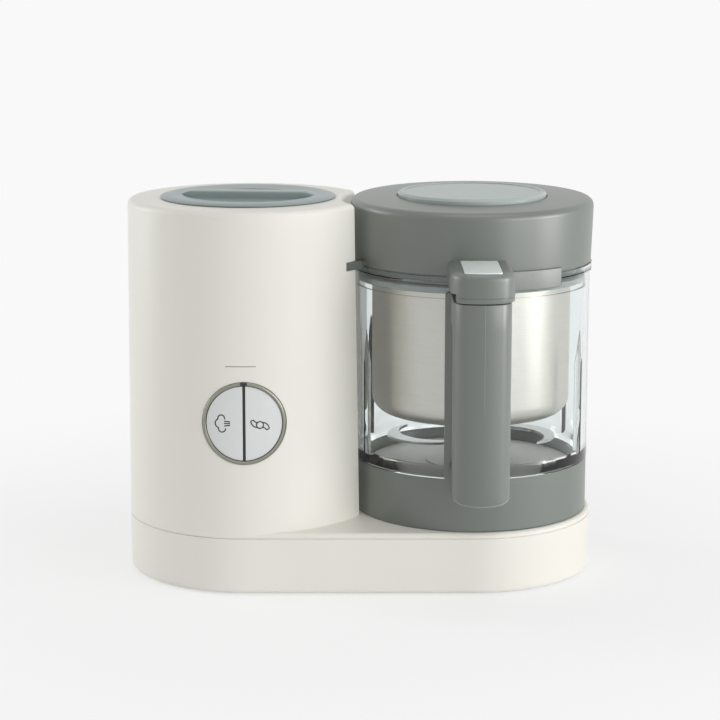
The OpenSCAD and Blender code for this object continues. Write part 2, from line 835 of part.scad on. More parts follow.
module handle_grip() color(green_c)
  jug_frame() difference() {
    intersection() {
      along_x(grip_w) difference() {
        rounded_rect([-handle_reach, grip_z], [0, grip_top_z + grip_corner_r], grip_corner_r);
        rounded_rect([-handle_reach + grip_t, grip_z + bridge_h], [0, grip_top_z - bridge_h + 1], finger_r);
      }
      along_y(-handle_reach - cut, 0)
        rounded_rect([-grip_w / 2, grip_z], [grip_w / 2, grip_top_z + finger_r], finger_r);
      translate([0, 0, grip_z - cut]) linear_extrude(grip_top_z - grip_z + cut)
        crowned_plan(grip_w, grip_front_r);
    }
    cylinder_boss(rail_out_r + seat, 0, lid_top_z);
    handle_screw_holes(screw_r + shaft_clear, -handle_reach + grip_t + 8, -rail_out_r + cut);
  }

module handle_screw(i) color(steel_c)
  jug_frame() translate([0, 0, handle_screw_z[i]]) {
    along_y(-rail_in_r - 3, -rail_in_r - 0.6) circle(screw_head_r);
    along_y(-handle_reach + grip_t + 8.2, -rail_in_r - 1.2) circle(screw_r);
  }

// ---- Basket ----

module basket() color(steel_c)
  jug_frame() difference() {
    rotate_extrude() edge_profile(basket_r, basket_z, basket_top_z, basket_corner_r, 0);
    rotate_extrude()
      edge_profile(basket_r - sheet_t, basket_z + sheet_t, basket_top_z + cut, basket_corner_r - sheet_t, 0);
    for (ring = [0 : hole_rings], i = [0 : max(6 * ring - 1, 0)])
      rotate([0, 0, 60 * i / max(ring, 1)]) translate([ring * steam_hole_pitch, 0, basket_z - cut])
        cylinder(r = steam_hole_r, h = sheet_t + 2 * cut, $fn = 16);
  }

module basket_rim() color(cap_c)
  jug_frame() translate([0, 0, ledge_z]) tube(basket_rim_r, basket_r + 0.1, basket_rim_h);

// ---- Lid ----

module lid_seal() color(rubber_c)
  jug_frame() translate([0, 0, rim_z]) tube(lid_lip_r - clear, plug_ring_r + cut, web_z - rim_z);

module lid_outline() {
  polygon([
    [lid_lip_r, lid_z], [lid_foot_r, lid_z], [lid_r, lid_top_z - lid_edge_r],
    [lid_r - lid_edge_r, lid_top_z], [fill_hole_r, lid_top_z + lid_crown],
    [fill_hole_r, lid_top_z - 12], [fill_hole_r + 2, lid_top_z - 12],
    [fill_hole_r + 2, lid_top_z - wall], [lid_in_r, lid_top_z - wall],
    [lid_in_r, web_z + web_t], [plug_ring_r - 2, web_z + web_t],
    [plug_ring_r - 2, rim_z - 6], [plug_ring_r, rim_z - 6],
    [plug_ring_r, web_z], [lid_lip_r, web_z]
  ]);
  translate([lid_r - lid_edge_r, lid_top_z - lid_edge_r]) circle(lid_edge_r);
}

module lug() {
  difference() {
    intersection() {
      along_x(lug_w)
        rounded_rect([-handle_reach, lug_z - lug_corner_r], [0, lug_top_z], lug_corner_r);
      along_y(-handle_reach - cut, 0)
        rounded_rect([-lug_w / 2, lug_z - lug_corner_r], [lug_w / 2, lug_top_z], lug_corner_r);
      translate([0, 0, lug_z]) linear_extrude(lug_top_z - lug_z) crowned_plan(lug_w, lug_front_r);
    }
    cylinder_boss(lid_r - cut, 0, lid_top_z);
    cylinder_boss(flange_r + clear, 0, lid_z);
    translate([-latch_w / 2 - clear, latch_y - clear, lug_top_z - latch_t - latch_travel - clear])
      cube([latch_w + 2 * clear, handle_reach, latch_t + latch_travel + 2 * clear]);
  }
}

// A strip on the lid's wall from angle start to start + sweep, hanging down to z0
module lid_strip(start, sweep, outer_r, z0) {
  rotate([0, 0, start]) rotate_extrude(angle = sweep) {
    translate([lid_foot_r - 0.5, lid_z]) square([outer_r - lid_foot_r + 0.5, 3]);
    if (z0 < lid_z) translate([skirt_r, z0]) square([outer_r - skirt_r, lid_z - z0 + cut]);
  }
}

module lid_shell() color(green_c)
  jug_frame() difference() {
    union() {
      rotate_extrude() lid_outline();
      lug();
      lid_strip(skirt_start, skirt_sweep, skirt_r + skirt_t, skirt_z);
      lid_strip(catch_start, catch_sweep, flange_r + 1, lid_z);
    }
    translate([-lid_r - cut, 0, steam_z]) rotate([0, 90, 0]) cylinder(r = nozzle_r, h = 2 * lid_t);
  }

module lid_disc() color(disc_c)
  jug_frame() {
    difference() {
      rotate_extrude() polygon([
        [0, disc_seat_z], [disc_r, disc_seat_z], [disc_r, disc_seat_z + disc_h - 1.6],
        [disc_r - 1.6, disc_seat_z + disc_h - seat], [0, disc_seat_z + disc_h - seat]
      ]);
      cylinder_boss(disc_r - 4, disc_seat_z + disc_h - seat - 0.4, lid_top_z + 2 * disc_h);
    }
    translate([0, 0, disc_seat_z - disc_skirt_h]) tube(disc_skirt_r, disc_skirt_r - 2.4, disc_skirt_h + cut);
  }

module latch_button() color(cap_c)
  jug_frame() translate([0, 0, lug_top_z - latch_t + latch_proud])
    linear_extrude(latch_t)
      rounded_rect([-latch_w / 2, latch_y], [latch_w / 2, latch_y + latch_l - 2], 1.5);

base_tub();
foot(0);  // foot_1
foot(1);  // foot_2
foot(2);  // foot_3
foot(3);  // foot_4
base_screw(0);  // base_screw_1
base_screw(1);  // base_screw_2
base_screw(2);  // base_screw_3
base_screw(3);  // base_screw_4
cord_gland();
upper_housing();
boiler_tank();
heating_element();
thermostat();
steam_pipe();
steam_nozzle();
control_bezel();
status_light();
control_board();
button_switch(-1);  // steam_switch
button_switch(1);  // blend_switch
push_button(-1);  // steam_button
push_button(1);  // blend_button
interlock_latch();
motor_mount();
motor_body();
motor_shaft();
drive_coupling();
tank_cap();
tank_seal();
jug_base_ring();
jug_glass();
handle_rail();
handle_grip();
handle_screw(0);  // handle_screw_1
handle_screw(1);  // handle_screw_2
shaft_bushing();
lock_nut();
blade_plate();
driven_coupling();
blade_shaft();
blade();
blade_hub();
basket();
basket_rim();
lid_seal();
lid_shell();
lid_disc();
latch_button();
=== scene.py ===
import json
import math

import bmesh
import bpy
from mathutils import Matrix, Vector
from mathutils.bvhtree import BVHTree

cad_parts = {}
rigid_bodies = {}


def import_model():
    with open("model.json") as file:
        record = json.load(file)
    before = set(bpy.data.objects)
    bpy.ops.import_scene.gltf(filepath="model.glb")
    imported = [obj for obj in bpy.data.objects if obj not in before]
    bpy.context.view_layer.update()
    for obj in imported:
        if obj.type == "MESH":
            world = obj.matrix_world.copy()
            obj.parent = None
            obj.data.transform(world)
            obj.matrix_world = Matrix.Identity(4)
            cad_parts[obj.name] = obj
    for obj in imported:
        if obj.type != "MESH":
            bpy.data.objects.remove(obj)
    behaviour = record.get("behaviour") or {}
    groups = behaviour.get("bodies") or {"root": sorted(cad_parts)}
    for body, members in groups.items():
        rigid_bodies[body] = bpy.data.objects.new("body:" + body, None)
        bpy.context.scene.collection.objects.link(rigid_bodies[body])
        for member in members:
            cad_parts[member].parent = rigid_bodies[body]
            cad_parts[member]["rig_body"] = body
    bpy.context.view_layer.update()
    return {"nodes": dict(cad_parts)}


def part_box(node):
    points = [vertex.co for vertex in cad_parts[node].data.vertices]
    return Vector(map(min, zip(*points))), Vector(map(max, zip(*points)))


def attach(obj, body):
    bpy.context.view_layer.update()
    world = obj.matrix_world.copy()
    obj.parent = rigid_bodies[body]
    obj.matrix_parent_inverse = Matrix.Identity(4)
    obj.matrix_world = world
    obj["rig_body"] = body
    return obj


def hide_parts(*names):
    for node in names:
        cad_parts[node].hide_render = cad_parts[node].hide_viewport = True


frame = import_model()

mm = 0.001

# where the parts stand, taken from the frame
def axisOf(name):
    low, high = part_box(name)
    return Vector(((low.x + high.x) / 2, (low.y + high.y) / 2, 0))


jugAxis = axisOf("jug_base_ring")
towerAxis = axisOf("tank_cap")
print("frame read: jug and tower", round((jugAxis.x - towerAxis.x) / mm, 1), "mm apart")


# the photograph's frame and the places of what shows in it
imageSize = (720, 720)
imagePoints = {
    "objectLeft": (127.6, None),
    "objectRight": (593.0, None),
    "objectTop": (None, 179.0),
    "objectBottom": (None, 593.5),
    "controlRing": (241.5, 423.0),
    "steamIcon": (222.5, 423.0),
    "bladeIcon": (260.0, 425.0),
    "trimLine": (240.4, 366.8),
    "statusLight": (241.2, 383.6),
    "grip": (481.7, 406.0),
    "latchButton": (481.0, 266.5),
    "capBar": (248.0, 190.5),
    "fillingDisc": (471.0, 191.0),
}

cameraValues = {
    "lens": 113.0,
    "sensorWidth": 36.0,
    "distance": 1.400,
    "height": 0.4105,
    "aimX": 0.0,
    "pitch": 11.28,
    "shiftX": 0.0,
    "shiftY": 0.0,
}


def makeCamera(v):
    data = bpy.data.cameras.new("studioCamera")
    data.sensor_fit = "AUTO"
    data.sensor_width = v["sensorWidth"]
    data.lens = v["lens"]
    data.shift_x = v["shiftX"]
    data.shift_y = v["shiftY"]
    data.clip_end = 50
    cam = bpy.data.objects.new("studioCamera", data)
    bpy.context.scene.collection.objects.link(cam)
    cam.location = (v["aimX"], towerAxis.y - v["distance"], v["height"])
    cam.rotation_euler = (math.radians(90 - v["pitch"]), 0, 0)
    bpy.context.scene.camera = cam
    bpy.context.view_layer.update()
    return cam


camera = makeCamera(cameraValues)


def imageRay(x, y):
    w, h = imageSize
    side = max(w, h)
    d = camera.data
    direction = Vector((x - w / 2 + d.shift_x * side, h / 2 - y + d.shift_y * side,
                        -side * d.lens / d.sensor_width))
    return (camera.matrix_world.translation.copy(),
            (camera.matrix_world.to_3x3() @ direction).normalized())


def imagePlace(p):
    w, h = imageSize
    side = max(w, h)
    d = camera.data
    q = camera.matrix_world.inverted() @ Vector(p)
    scale = side * d.lens / d.sensor_width / -q.z
    return q.x * scale + w / 2 - d.shift_x * side, h / 2 - q.y * scale + d.shift_y * side


def surfaceTree(objects):
    verts, faces = [], []
    for o in objects:
        start = len(verts)
        verts += [v.co.copy() for v in o.data.vertices]
        faces += [[start + i for i in p.vertices] for p in o.data.polygons]
    return BVHTree.FromPolygons(verts, faces)


def placeOn(tree, x, y):
    # where the camera's ray through an image point meets the mesh, or else passes nearest to it
    origin, direction = imageRay(x, y)
    hit = tree.ray_cast(origin, direction)[0]
    if hit is None:
        nearest = [tree.find_nearest(origin + direction * t * 0.01) for t in range(100, 200)]
        hit = min(nearest, key=lambda found: found[3])[0]
    return hit


def hexColour(text):
    values = [int(text[i:i + 2], 16) / 255 for i in (0, 2, 4)]
    return [c / 12.92 if c <= 0.04045 else ((c + 0.055) / 1.055) ** 2.4 for c in values] + [1.0]


def addNode(tree, kind, inputs=None, links=None, **settings):
    node = tree.nodes.new(kind)
    for name, value in settings.items():
        setattr(node, name, value)
    for name, value in (inputs or {}).items():
        node.inputs[name].default_value = value
    for name, source in (links or {}).items():
        tree.links.new(source, node.inputs[name])
    return node


def startMaterial(name, colour):
    mat = bpy.data.materials.new(name)
    mat.use_nodes = True
    mat.diffuse_color = hexColour(colour)
    tree = mat.node_tree
    tree.nodes.clear()
    shader = addNode(tree, "ShaderNodeBsdfPrincipled")
    addNode(tree, "ShaderNodeOutputMaterial", links={"Surface": shader.outputs["BSDF"]})
    place = addNode(tree, "ShaderNodeTexCoord")
    return mat, tree, shader, place.outputs["Object"]


def blendColour(tree, factor, first, second):
    # sockets 6, 7 and output 2 are the Mix node's colour ones
    mix = addNode(tree, "ShaderNodeMix", {6: hexColour(first), 7: hexColour(second)}, {0: factor},
                  data_type="RGBA")
    return mix.outputs[2]


def surfaceFrom(tree, shader, noise, v, normal=None):
    # one noise spreads the roughness and lifts the fine relief
    rough = addNode(tree, "ShaderNodeMapRange", {"To Min": v["roughness"] - v["roughSpread"],
                                                 "To Max": v["roughness"] + v["roughSpread"]},
                    {"Value": noise})
    tree.links.new(rough.outputs["Result"], shader.inputs["Roughness"])
    bump = addNode(tree, "ShaderNodeBump", {"Strength": v["bump"], "Distance": v["bumpDepth"]},
                   {"Height": noise, **({"Normal": normal} if normal else {})})
    tree.links.new(bump.outputs["Normal"], shader.inputs["Normal"])


# radius in metres by which the light sees a plastic edge as rounded
softEdge = 0.0004


def grainMaterial(name, v):
    mat, tree, shader, place = startMaterial(name, v["colour"])
    cloud = addNode(tree, "ShaderNodeTexNoise", {"Scale": 1 / v["cloudSize"], "Detail": 2.0},
                    {"Vector": place})
    colour = blendColour(tree, cloud.outputs["Fac"], v["colour"], v["deepColour"])
    tree.links.new(colour, shader.inputs["Base Color"])
    grain = addNode(tree, "ShaderNodeTexNoise", {"Scale": 1 / v["grainSize"], "Detail": 3.0},
                    {"Vector": place}).outputs["Fac"]
    edge = addNode(tree, "ShaderNodeBevel", {"Radius": softEdge}, samples=6)
    surfaceFrom(tree, shader, grain, v, edge.outputs["Normal"])
    shader.inputs["IOR"].default_value = 1.5
    shader.inputs["Specular IOR Level"].default_value = v.get("specular", 0.5)
    shader.inputs["Coat Weight"].default_value = v.get("coat", 0.0)
    shader.inputs["Coat Roughness"].default_value = v.get("coatRoughness", 0.2)
    return mat


def brushedMaterial(name, v):
    mat, tree, shader, place = startMaterial(name, v["colour"])
    stretch = addNode(tree, "ShaderNodeMapping", {"Scale": v["stretch"]}, {"Vector": place})
    lines = addNode(tree, "ShaderNodeTexNoise", {"Scale": 1 / v["lineSize"], "Detail": 4.0},
                    {"Vector": stretch.outputs["Vector"]}).outputs["Fac"]
    tree.links.new(blendColour(tree, lines, v["colour"], v["deepColour"]), shader.inputs["Base Color"])
    surfaceFrom(tree, shader, lines, v)
    shader.inputs["Metallic"].default_value = 1.0
    return mat


def glassMaterial(name, v):
    mat, tree, shader, place = startMaterial(name, v["colour"])
    shader.inputs["Base Color"].default_value = hexColour(v["colour"])
    shader.inputs["Transmission Weight"].default_value = 1.0
    shader.inputs["IOR"].default_value = v["ior"]
    haze = addNode(tree, "ShaderNodeTexNoise", {"Scale": 1 / v["hazeSize"], "Detail": 1.0},
                   {"Vector": place})
    rough = addNode(tree, "ShaderNodeMapRange", {"To Min": 0.0, "To Max": v["haze"]},
                    {"Value": haze.outputs["Fac"]})
    tree.links.new(rough.outputs["Result"], shader.inputs["Roughness"])
    return mat


# what most moulded plastics and worked metals here share, so a finish names only what differs
moulded = dict(grainSize=0.0005, roughSpread=0.05, bump=0.1, bumpDepth=0.0001)
worked = dict(stretch=(1, 1, 1), roughSpread=0.06, bump=0.05, bumpDepth=0.00005)

finishes = {
    # ABS, injection moulded with a fine satin texture: warm white, soft broad highlights
    "whiteAbs": grainMaterial("satinWhiteAbs", dict(
        moulded, colour="F0EEE6", deepColour="EDEBE2", cloudSize=0.09, grainSize=0.0006, roughness=0.42,
        bump=0.12)),
    # polypropylene, moulded matt: grey green, a broad soft sheen
    "greenPp": grainMaterial("mattGreyGreenPolypropylene", dict(
        moulded, colour="646A64", deepColour="606660", cloudSize=0.07, roughness=0.4, roughSpread=0.06,
        bump=0.14, specular=1.0, coat=0.3, coatRoughness=0.42)),
    # polypropylene, moulded satin: blue grey cap
    "capPp": grainMaterial("satinBlueGreyPolypropylene", dict(
        moulded, colour="93A2A0", deepColour="869593", cloudSize=0.06, roughness=0.33)),
    # polypropylene, moulded satin: pale blue disc and latch button
    "palePp": grainMaterial("satinPaleBluePolypropylene", dict(
        moulded, colour="ABB6B2", deepColour="A7B2AE", cloudSize=0.05, roughness=0.35)),
    # polypropylene, moulded satin: the pale key in the lid's lug, painted lighter than the disc's same
    # plastic to offset the lid's shade on it
    "latchPp": grainMaterial("satinPalePolypropyleneKeyPaintedLight", dict(
        moulded, colour="E8F2EE", deepColour="E3EDE9", cloudSize=0.03, roughness=0.35, bump=0.08)),
    # polypropylene, moulded satin: the grey green rim of the basket
    "rimPp": grainMaterial("satinPalePolypropyleneRim", dict(
        moulded, colour="A9B2AE", deepColour="A4ADA9", cloudSize=0.03, roughness=0.4, bump=0.08)),
    # ABS keys, moulded with a fine satin texture: cool pale grey
    "keyAbs": grainMaterial("satinCoolGreyAbs", dict(
        moulded, colour="E3E5E4", deepColour="DFE2E1", cloudSize=0.02, roughness=0.4,
        bumpDepth=0.00008)),
    # plated ring, satin: olive grey metal
    "bezelMetal": brushedMaterial("satinPlatedRing", dict(
        worked, colour="9A9A8E", deepColour="858579", lineSize=0.0008, roughness=0.35)),
    # stainless steel, brushed round the wall: soft vertical bands of light
    "brushedSteel": brushedMaterial("brushedStainlessSteel", dict(
        worked, colour="E5DFD7", deepColour="D8D2C9", stretch=(0.04, 0.04, 1), lineSize=0.0006,
        roughness=0.42, roughSpread=0.08, bump=0.1, bumpDepth=0.00006)),
    # stainless steel, pressed and satin: the plate under the blade
    "satinSteel": brushedMaterial("satinPressedSteel", dict(
        worked, colour="E2E1DD", deepColour="D4D3CF", lineSize=0.0012, roughness=0.6,
        bumpDepth=0.00006)),
    # stainless steel, polished blade and fittings
    "polishedSteel": brushedMaterial("polishedStainlessSteel", dict(
        worked, colour="CFCFCD", deepColour="BDBDBB", lineSize=0.002, roughness=0.18, roughSpread=0.05,
        bump=0.04)),
    # brass, turned and left plain: dull yellow nut and heating element
    "brass": brushedMaterial("turnedBrass", dict(
        worked, colour="B79B5B", deepColour="9C8349", lineSize=0.001, roughness=0.35)),
    # borosilicate glass, pressed and fire polished: clear with a faint cool tint
    "clearGlass": glassMaterial("clearPressedGlass", dict(
        colour="F4F8F8", ior=1.47, hazeSize=0.02, haze=0.015)),
    # silicone, moulded: milky white
    "silicone": grainMaterial("milkySilicone", dict(
        moulded, colour="C9CCC9", deepColour="BFC2C0", cloudSize=0.02, grainSize=0.0004,
        roughness=0.55)),
    # nitrile rubber, moulded: matt black
    "blackRubber": grainMaterial("mattBlackRubber", dict(
        moulded, colour="2E3030", deepColour="262828", cloudSize=0.02, roughness=0.7, roughSpread=0.06,
        bump=0.2)),
    # nylon, moulded matt: near black couplings, switches and the bar between the keys
    "blackNylon": grainMaterial("mattBlackNylon", dict(
        moulded, colour="2B2D2D", deepColour="242626", cloudSize=0.02, roughness=0.5, roughSpread=0.06,
        bump=0.15)),
    # glass-fibre board under lacquer, sprayed: glossy dark green
    "boardLacquer": grainMaterial("greenBoardLacquer", dict(
        moulded, colour="3E6B4A", deepColour="345C40", cloudSize=0.01, grainSize=0.001, roughness=0.4)),
    # pad-printed ink, satin: dark grey strokes on the keys
    "iconInk": grainMaterial("satinPrintedInk", dict(
        moulded, colour="303232", deepColour="2B2D2D", cloudSize=0.01, roughness=0.5, bump=0.03,
        bumpDepth=0.00003)),
    # the same ink in pale grey: the plain line on the tower
    "trimInk": grainMaterial("paleGreyPrintedInk", dict(
        moulded, colour="9E9790", deepColour="99928B", cloudSize=0.01, roughness=0.5, bump=0.03,
        bumpDepth=0.00003)),
    # the parting line of the grip's mould: the same plastic, painted brighter as a highlight where it stands
    # proud
    "mouldFlash": grainMaterial("mattPolypropyleneFlashPaintedHighlight", dict(
        moulded, colour="9BA29C", deepColour="969D97", cloudSize=0.02, roughness=0.35, bump=0.05,
        bumpDepth=0.00005)),
    # acrylic, moulded and smoked: a glossy dark lens, unlit
    "darkLens": grainMaterial("smokedAcrylicLens", dict(
        moulded, colour="22303A", deepColour="1E2A33", cloudSize=0.01, grainSize=0.001, roughness=0.15,
        roughSpread=0.02, bump=0.02, bumpDepth=0.00005)),
}

nodeFinish = {
    "whiteAbs": ["base_tub", "upper_housing"],
    "greenPp": ["jug_base_ring", "handle_rail", "handle_grip", "lid_shell", "interlock_latch"],
    "capPp": ["tank_cap"],
    "palePp": ["lid_disc", "latch_button", "basket_rim"],
    "keyAbs": ["steam_button", "blend_button"],
    "bezelMetal": ["control_bezel"],
    "brushedSteel": ["basket", "boiler_tank"],
    "polishedSteel": ["blade", "blade_hub", "blade_shaft", "shaft_bushing", "thermostat", "steam_pipe",
                      "motor_body", "motor_shaft", "handle_screw_1", "handle_screw_2", "base_screw_1",
                      "base_screw_2", "base_screw_3", "base_screw_4"],
    "satinSteel": ["blade_plate"],
    "brass": ["lock_nut", "heating_element"],
    "clearGlass": ["jug_glass"],
    "silicone": ["lid_seal", "steam_nozzle", "tank_seal"],
    "blackRubber": ["foot_1", "foot_2", "foot_3", "foot_4", "cord_gland", "motor_mount"],
    "blackNylon": ["driven_coupling", "drive_coupling", "steam_switch", "blend_switch"],
    "boardLacquer": ["control_board"],
    "darkLens": ["status_light"],
}
for finish, names in nodeFinish.items():
    for name in names:
        data = frame["nodes"][name].data
        data.materials.clear()
        data.materials.append(finishes[finish])
print("finishes set on", sum(len(n) for n in nodeFinish.values()), "frame pieces")


# pieces of the scene's own, in mm about the jug's or the tower's axis
def besideJug(x, y, z):
    return (jugAxis.x + x * mm, jugAxis.y + y * mm, z * mm)


def besideTower(x, y, z):
    return (towerAxis.x + x * mm, towerAxis.y + y * mm, z * mm)


def turned(x, y, degrees):
    turn = math.radians(degrees)
    return x * math.cos(turn) - y * math.sin(turn), x * math.sin(turn) + y * math.cos(turn)


handleTurn = 0.6


def onHandle(x, y, z):
    # the handle stands a little off the front line, turned about the jug's axis
    return besideJug(*turned(x, y, handleTurn), z)


sharpAngle = math.radians(32)


def makePiece(name, verts, faces, finish, body=None):
    mesh = bpy.data.meshes.new(name)
    mesh.from_pydata(verts, [], faces)
    bm = bmesh.new()
    bm.from_mesh(mesh)
    bmesh.ops.remove_doubles(bm, verts=bm.verts, dist=2e-6)
    bmesh.ops.dissolve_degenerate(bm, edges=bm.edges, dist=1e-6)
    bmesh.ops.recalc_face_normals(bm, faces=bm.faces)
    bm.to_mesh(mesh)
    bm.free()
    mesh.materials.append(finishes[finish])
    mesh.shade_smooth()
    mesh.set_sharp_from_angle(angle=sharpAngle)
    piece = bpy.data.objects.new(name, mesh)
    bpy.context.scene.collection.objects.link(piece)
    if body:
        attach(piece, body)
    return piece


def loft(rings, closed=False):
    # faces between rings of the same count, with flat ends unless the last ring meets the first
    count = len(rings[0])
    verts = [p for ring in rings for p in ring]
    faces = []
    spans = len(rings) if closed else len(rings) - 1
    for i in range(spans):
        low, high = i * count, (i + 1) % len(rings) * count
        faces += [(low + k, low + (k + 1) % count, high + (k + 1) % count, high + k)
                  for k in range(count)]
    if not closed:
        faces += [tuple(reversed(range(count))),
                  tuple(range((len(rings) - 1) * count, len(rings) * count))]
    return verts, faces


def joinParts(parts):
    verts, faces = [], []
    for partVerts, partFaces in parts:
        start = len(verts)
        verts += partVerts
        faces += [tuple(start + i for i in face) for face in partFaces]
    return verts, faces


def revolve(profile, steps, spot):
    # profile is a closed outline of (radius, height), taken a full turn about the spot's axis
    rings = []
    for k in range(steps):
        a = math.radians(360 * k / steps)
        rings.append([spot(r * math.cos(a), r * math.sin(a), z) for r, z in profile])
    return loft(rings, closed=True)


def arcPoints(cx, cy, r, start, end, steps):
    angles = [math.radians(start + (end - start) * k / steps) for k in range(steps + 1)]
    return [(cx + r * math.cos(a), cy + r * math.sin(a)) for a in angles]


def meshParts(piece):
    return [tuple(p.co) for p in piece.data.vertices], [tuple(p.vertices) for p in piece.data.polygons]


def evaluatedMesh(piece):
    # the piece as a plain mesh, with its modifiers applied
    bpy.context.view_layer.update()
    evaluated = piece.evaluated_get(bpy.context.evaluated_depsgraph_get())
    return bpy.data.meshes.new_from_object(evaluated)


def carve(piece, cutter, name):
    # takes cutter out of piece and keeps the result as a plain mesh
    modifier = piece.modifiers.new("carve", "BOOLEAN")
    modifier.object = cutter
    modifier.operation = "DIFFERENCE"
    modifier.solver = "EXACT"
    result = evaluatedMesh(piece)
    result.name = name
    piece.modifiers.clear()
    piece.data = result
    bpy.data.objects.remove(cutter)


def quarterTurn(steps):
    # sine and cosine from 0 to 90 degrees, for rounded edges
    angles = [math.pi / 2 * k / steps for k in range(steps + 1)]
    return [(math.sin(a), math.cos(a)) for a in angles]


# plan of the grip and the lug: a crowned front, rounded front corners and straight sides
def frontLine(x, v, inset):
    w = v["halfWidth"] - inset
    x = x * w / v["halfWidth"]
    y = -v["reach"] + inset + v["frontR"] - math.sqrt(v["frontR"] ** 2 - x * x)
    turn = abs(x) - (w - v["cornerR"])
    if turn > 0:
        y += v["cornerR"] - math.sqrt(max(v["cornerR"] ** 2 - turn * turn, 0))
    return x, y


def planRing(v, inset, backY, height, leftEnd=-1.0):
    # backY and height are functions of x, so the ring can follow a curved end or the rail behind
    middle, half = (1 + leftEnd) / 2 * v["halfWidth"], (1 - leftEnd) / 2 * v["halfWidth"]
    xs = [middle - half * math.cos(math.pi * k / v["across"]) for k in range(v["across"] + 1)]
    front = [frontLine(x, v, inset) for x in xs]
    ring = [(x, y, height(x)) for x, y in front]
    ring += [(x, backY(x), height(x)) for x, y in reversed(front)]
    return [onHandle(*p) for p in ring]


gripValues = {
    "reach": 125.9, "halfWidth": 17.0, "frontR": 30.0, "cornerR": 7.0, "across": 40,
    "low": 67.9, "high": 188.1, "thickness": 22.0, "bridge": 16.0, "fingerR": 8.0, "endDrop": 3.7,
    "edge": 0.9, "railR": 80.5, "backCorner": 5.0, "topEdge": 0.5,
}


def makeGrip(v):
    # one closed loft from the cup-shaped lower end to the flat top, with the finger gap behind it
    low, high, edge = v["low"], v["high"], v["edge"]
    column = -v["reach"] + v["thickness"]

    def endCurve(x):
        return v["endDrop"] * (1 - math.sqrt(max(1 - (x / v["halfWidth"]) ** 2, 0)))

    def railBack(x):
        return -math.sqrt(v["railR"] ** 2 - x * x)

    def columnBack(offset):
        def back(x):
            turn = abs(x) - (v["halfWidth"] - v["backCorner"])
            drop = v["backCorner"] - math.sqrt(max(v["backCorner"] ** 2 - turn * turn, 0)) if turn > 0 else 0
            return column + offset - drop
        return back

    rings = []
    for sine, cosine in quarterTurn(5):
        lift = edge * (1 - cosine)
        rings.append(planRing(v, edge * (1 - sine), railBack,
                              lambda x, lift=lift: low + endCurve(x) * (1 - lift / v["bridge"]) + lift))
    for share in (0.35, 0.7):
        rings.append(planRing(v, 0, railBack, lambda x, share=share:
                              low + edge + endCurve(x) * (1 - share) + (v["bridge"] - edge) * share))
    rings.append(planRing(v, 0, railBack, lambda x: low + v["bridge"]))
    foot, head, r = low + v["bridge"], high - v["bridge"], v["fingerR"]
    for sine, cosine in quarterTurn(8):
        rings.append(planRing(v, 0, columnBack(r * (1 - sine)), lambda x, c=cosine: foot + r * (1 - c)))
    for sine, cosine in reversed(quarterTurn(8)):
        rings.append(planRing(v, 0, columnBack(r * (1 - sine)), lambda x, c=cosine: head - r * (1 - c)))
    rings.append(planRing(v, 0, railBack, lambda x: head))
    topEdge = v["topEdge"]
    for inset, drop in ((0, topEdge), (0.3 * topEdge, 0.3 * topEdge), (topEdge, 0)):
        rings.append(planRing(v, inset, railBack, lambda x, drop=drop: high - drop))
    verts, faces = loft(rings)
    # the flat ends become strips from front to back, so the curved lower end is covered evenly
    faces = faces[:-2]
    n, across = len(rings[0]), v["across"]
    for base in (0, (len(rings) - 1) * n):
        faces += [(base + k, base + k + 1, base + n - 2 - k, base + n - 1 - k) for k in range(across)]
    piece = makePiece("handleGrip", verts, faces, "greenPp", "jug")
    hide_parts("handle_grip")
    return piece


grip = makeGrip(gripValues)
print("grip made:", len(grip.data.polygons), "faces")


# mould line down the front of the grip: a real proud ridge, coloured brighter as a painted highlight
mouldLineValues = {"x": 0.9, "top": 187.2, "bottom": 122.0, "width": 0.35, "proud": 0.07, "root": 0.2}


def makeMouldLine(v, grip):
    rings = []
    for k in range(24):
        z = v["bottom"] + (v["top"] - v["bottom"]) * k / 23
        w = v["width"] / 2 * min(1.0, 0.25 + 3.0 * k / 23)
        ring = []
        for dx, dy in ((-w, v["root"]), (-w * 0.5, -v["proud"]), (w * 0.5, -v["proud"]), (w, v["root"])):
            x, y = frontLine(v["x"] + dx, grip, 0)
            ring.append(onHandle(x, y + dy, z))
        rings.append(ring)
    parts = [loft(rings)]
    # the same flash, in its painted highlight colour, runs round the lower end, just above its fillet
    rings = []
    for k in range(41):
        side = -math.cos(math.pi * (0.03 + 0.94 * k / 40))
        x, y = frontLine(side * grip["halfWidth"], grip, 0)
        rise = grip["endDrop"] * (1 - math.sqrt(1 - side * side))
        z = grip["low"] + rise * (1 - grip["edge"] / grip["bridge"]) + grip["edge"]
        rings.append([onHandle(x, y + dy, z + dz) for dz, dy in (
            (-0.3, v["root"]), (-0.15, -v["proud"]), (0.2, -v["proud"]), (0.35, v["root"]))])
    parts.append(loft(rings))
    # the line's colour is a painted highlight, lighter than the grip's own plastic
    line = makePiece("gripMouldLinePaintedHighlight", *joinParts(parts), "mouldFlash", "jug")


makeMouldLine(mouldLineValues, gripValues)


# the lid: a turned shell with a steam port, the handle's lug in front and two strips on its wall
lidValues = {
    "wallR": 75.6, "footR": 74.4, "lipR": 73.6, "inR": 72.4, "low": 196.4, "top": 234.1, "crown": 0.8,
    "edgeR": 4.5, "holeR": 40.0, "collar": 2.0, "collarDeep": 12.0, "roofT": 2.5, "plugR": 66.0,
    "plugIn": 64.0, "plugLow": 190.0, "seatR": 46.9, "lean": 2.4, "webLow": 198.0, "webTop": 200.0,
    "portR": 5.0, "portZ": 212.0, "steps": 192,
}
lugValues = {
    "reach": 125.95, "halfWidth": 18.8, "frontR": 36.0, "cornerR": 9.0, "across": 40, "low": 188.5,
    "sideLow": 193.6, "high": 206.0, "visor": 9.5, "visorSide": 5.5, "visorLeft": -0.82, "topR": 4.2,
    "backY": -72.5, "edge": 0.7, "pocketHalf": 11.5, "pocketInset": 2.6, "pocketBack": -75.3,
    "pocketLow": 199.6, "pocketR": 1.8,
}
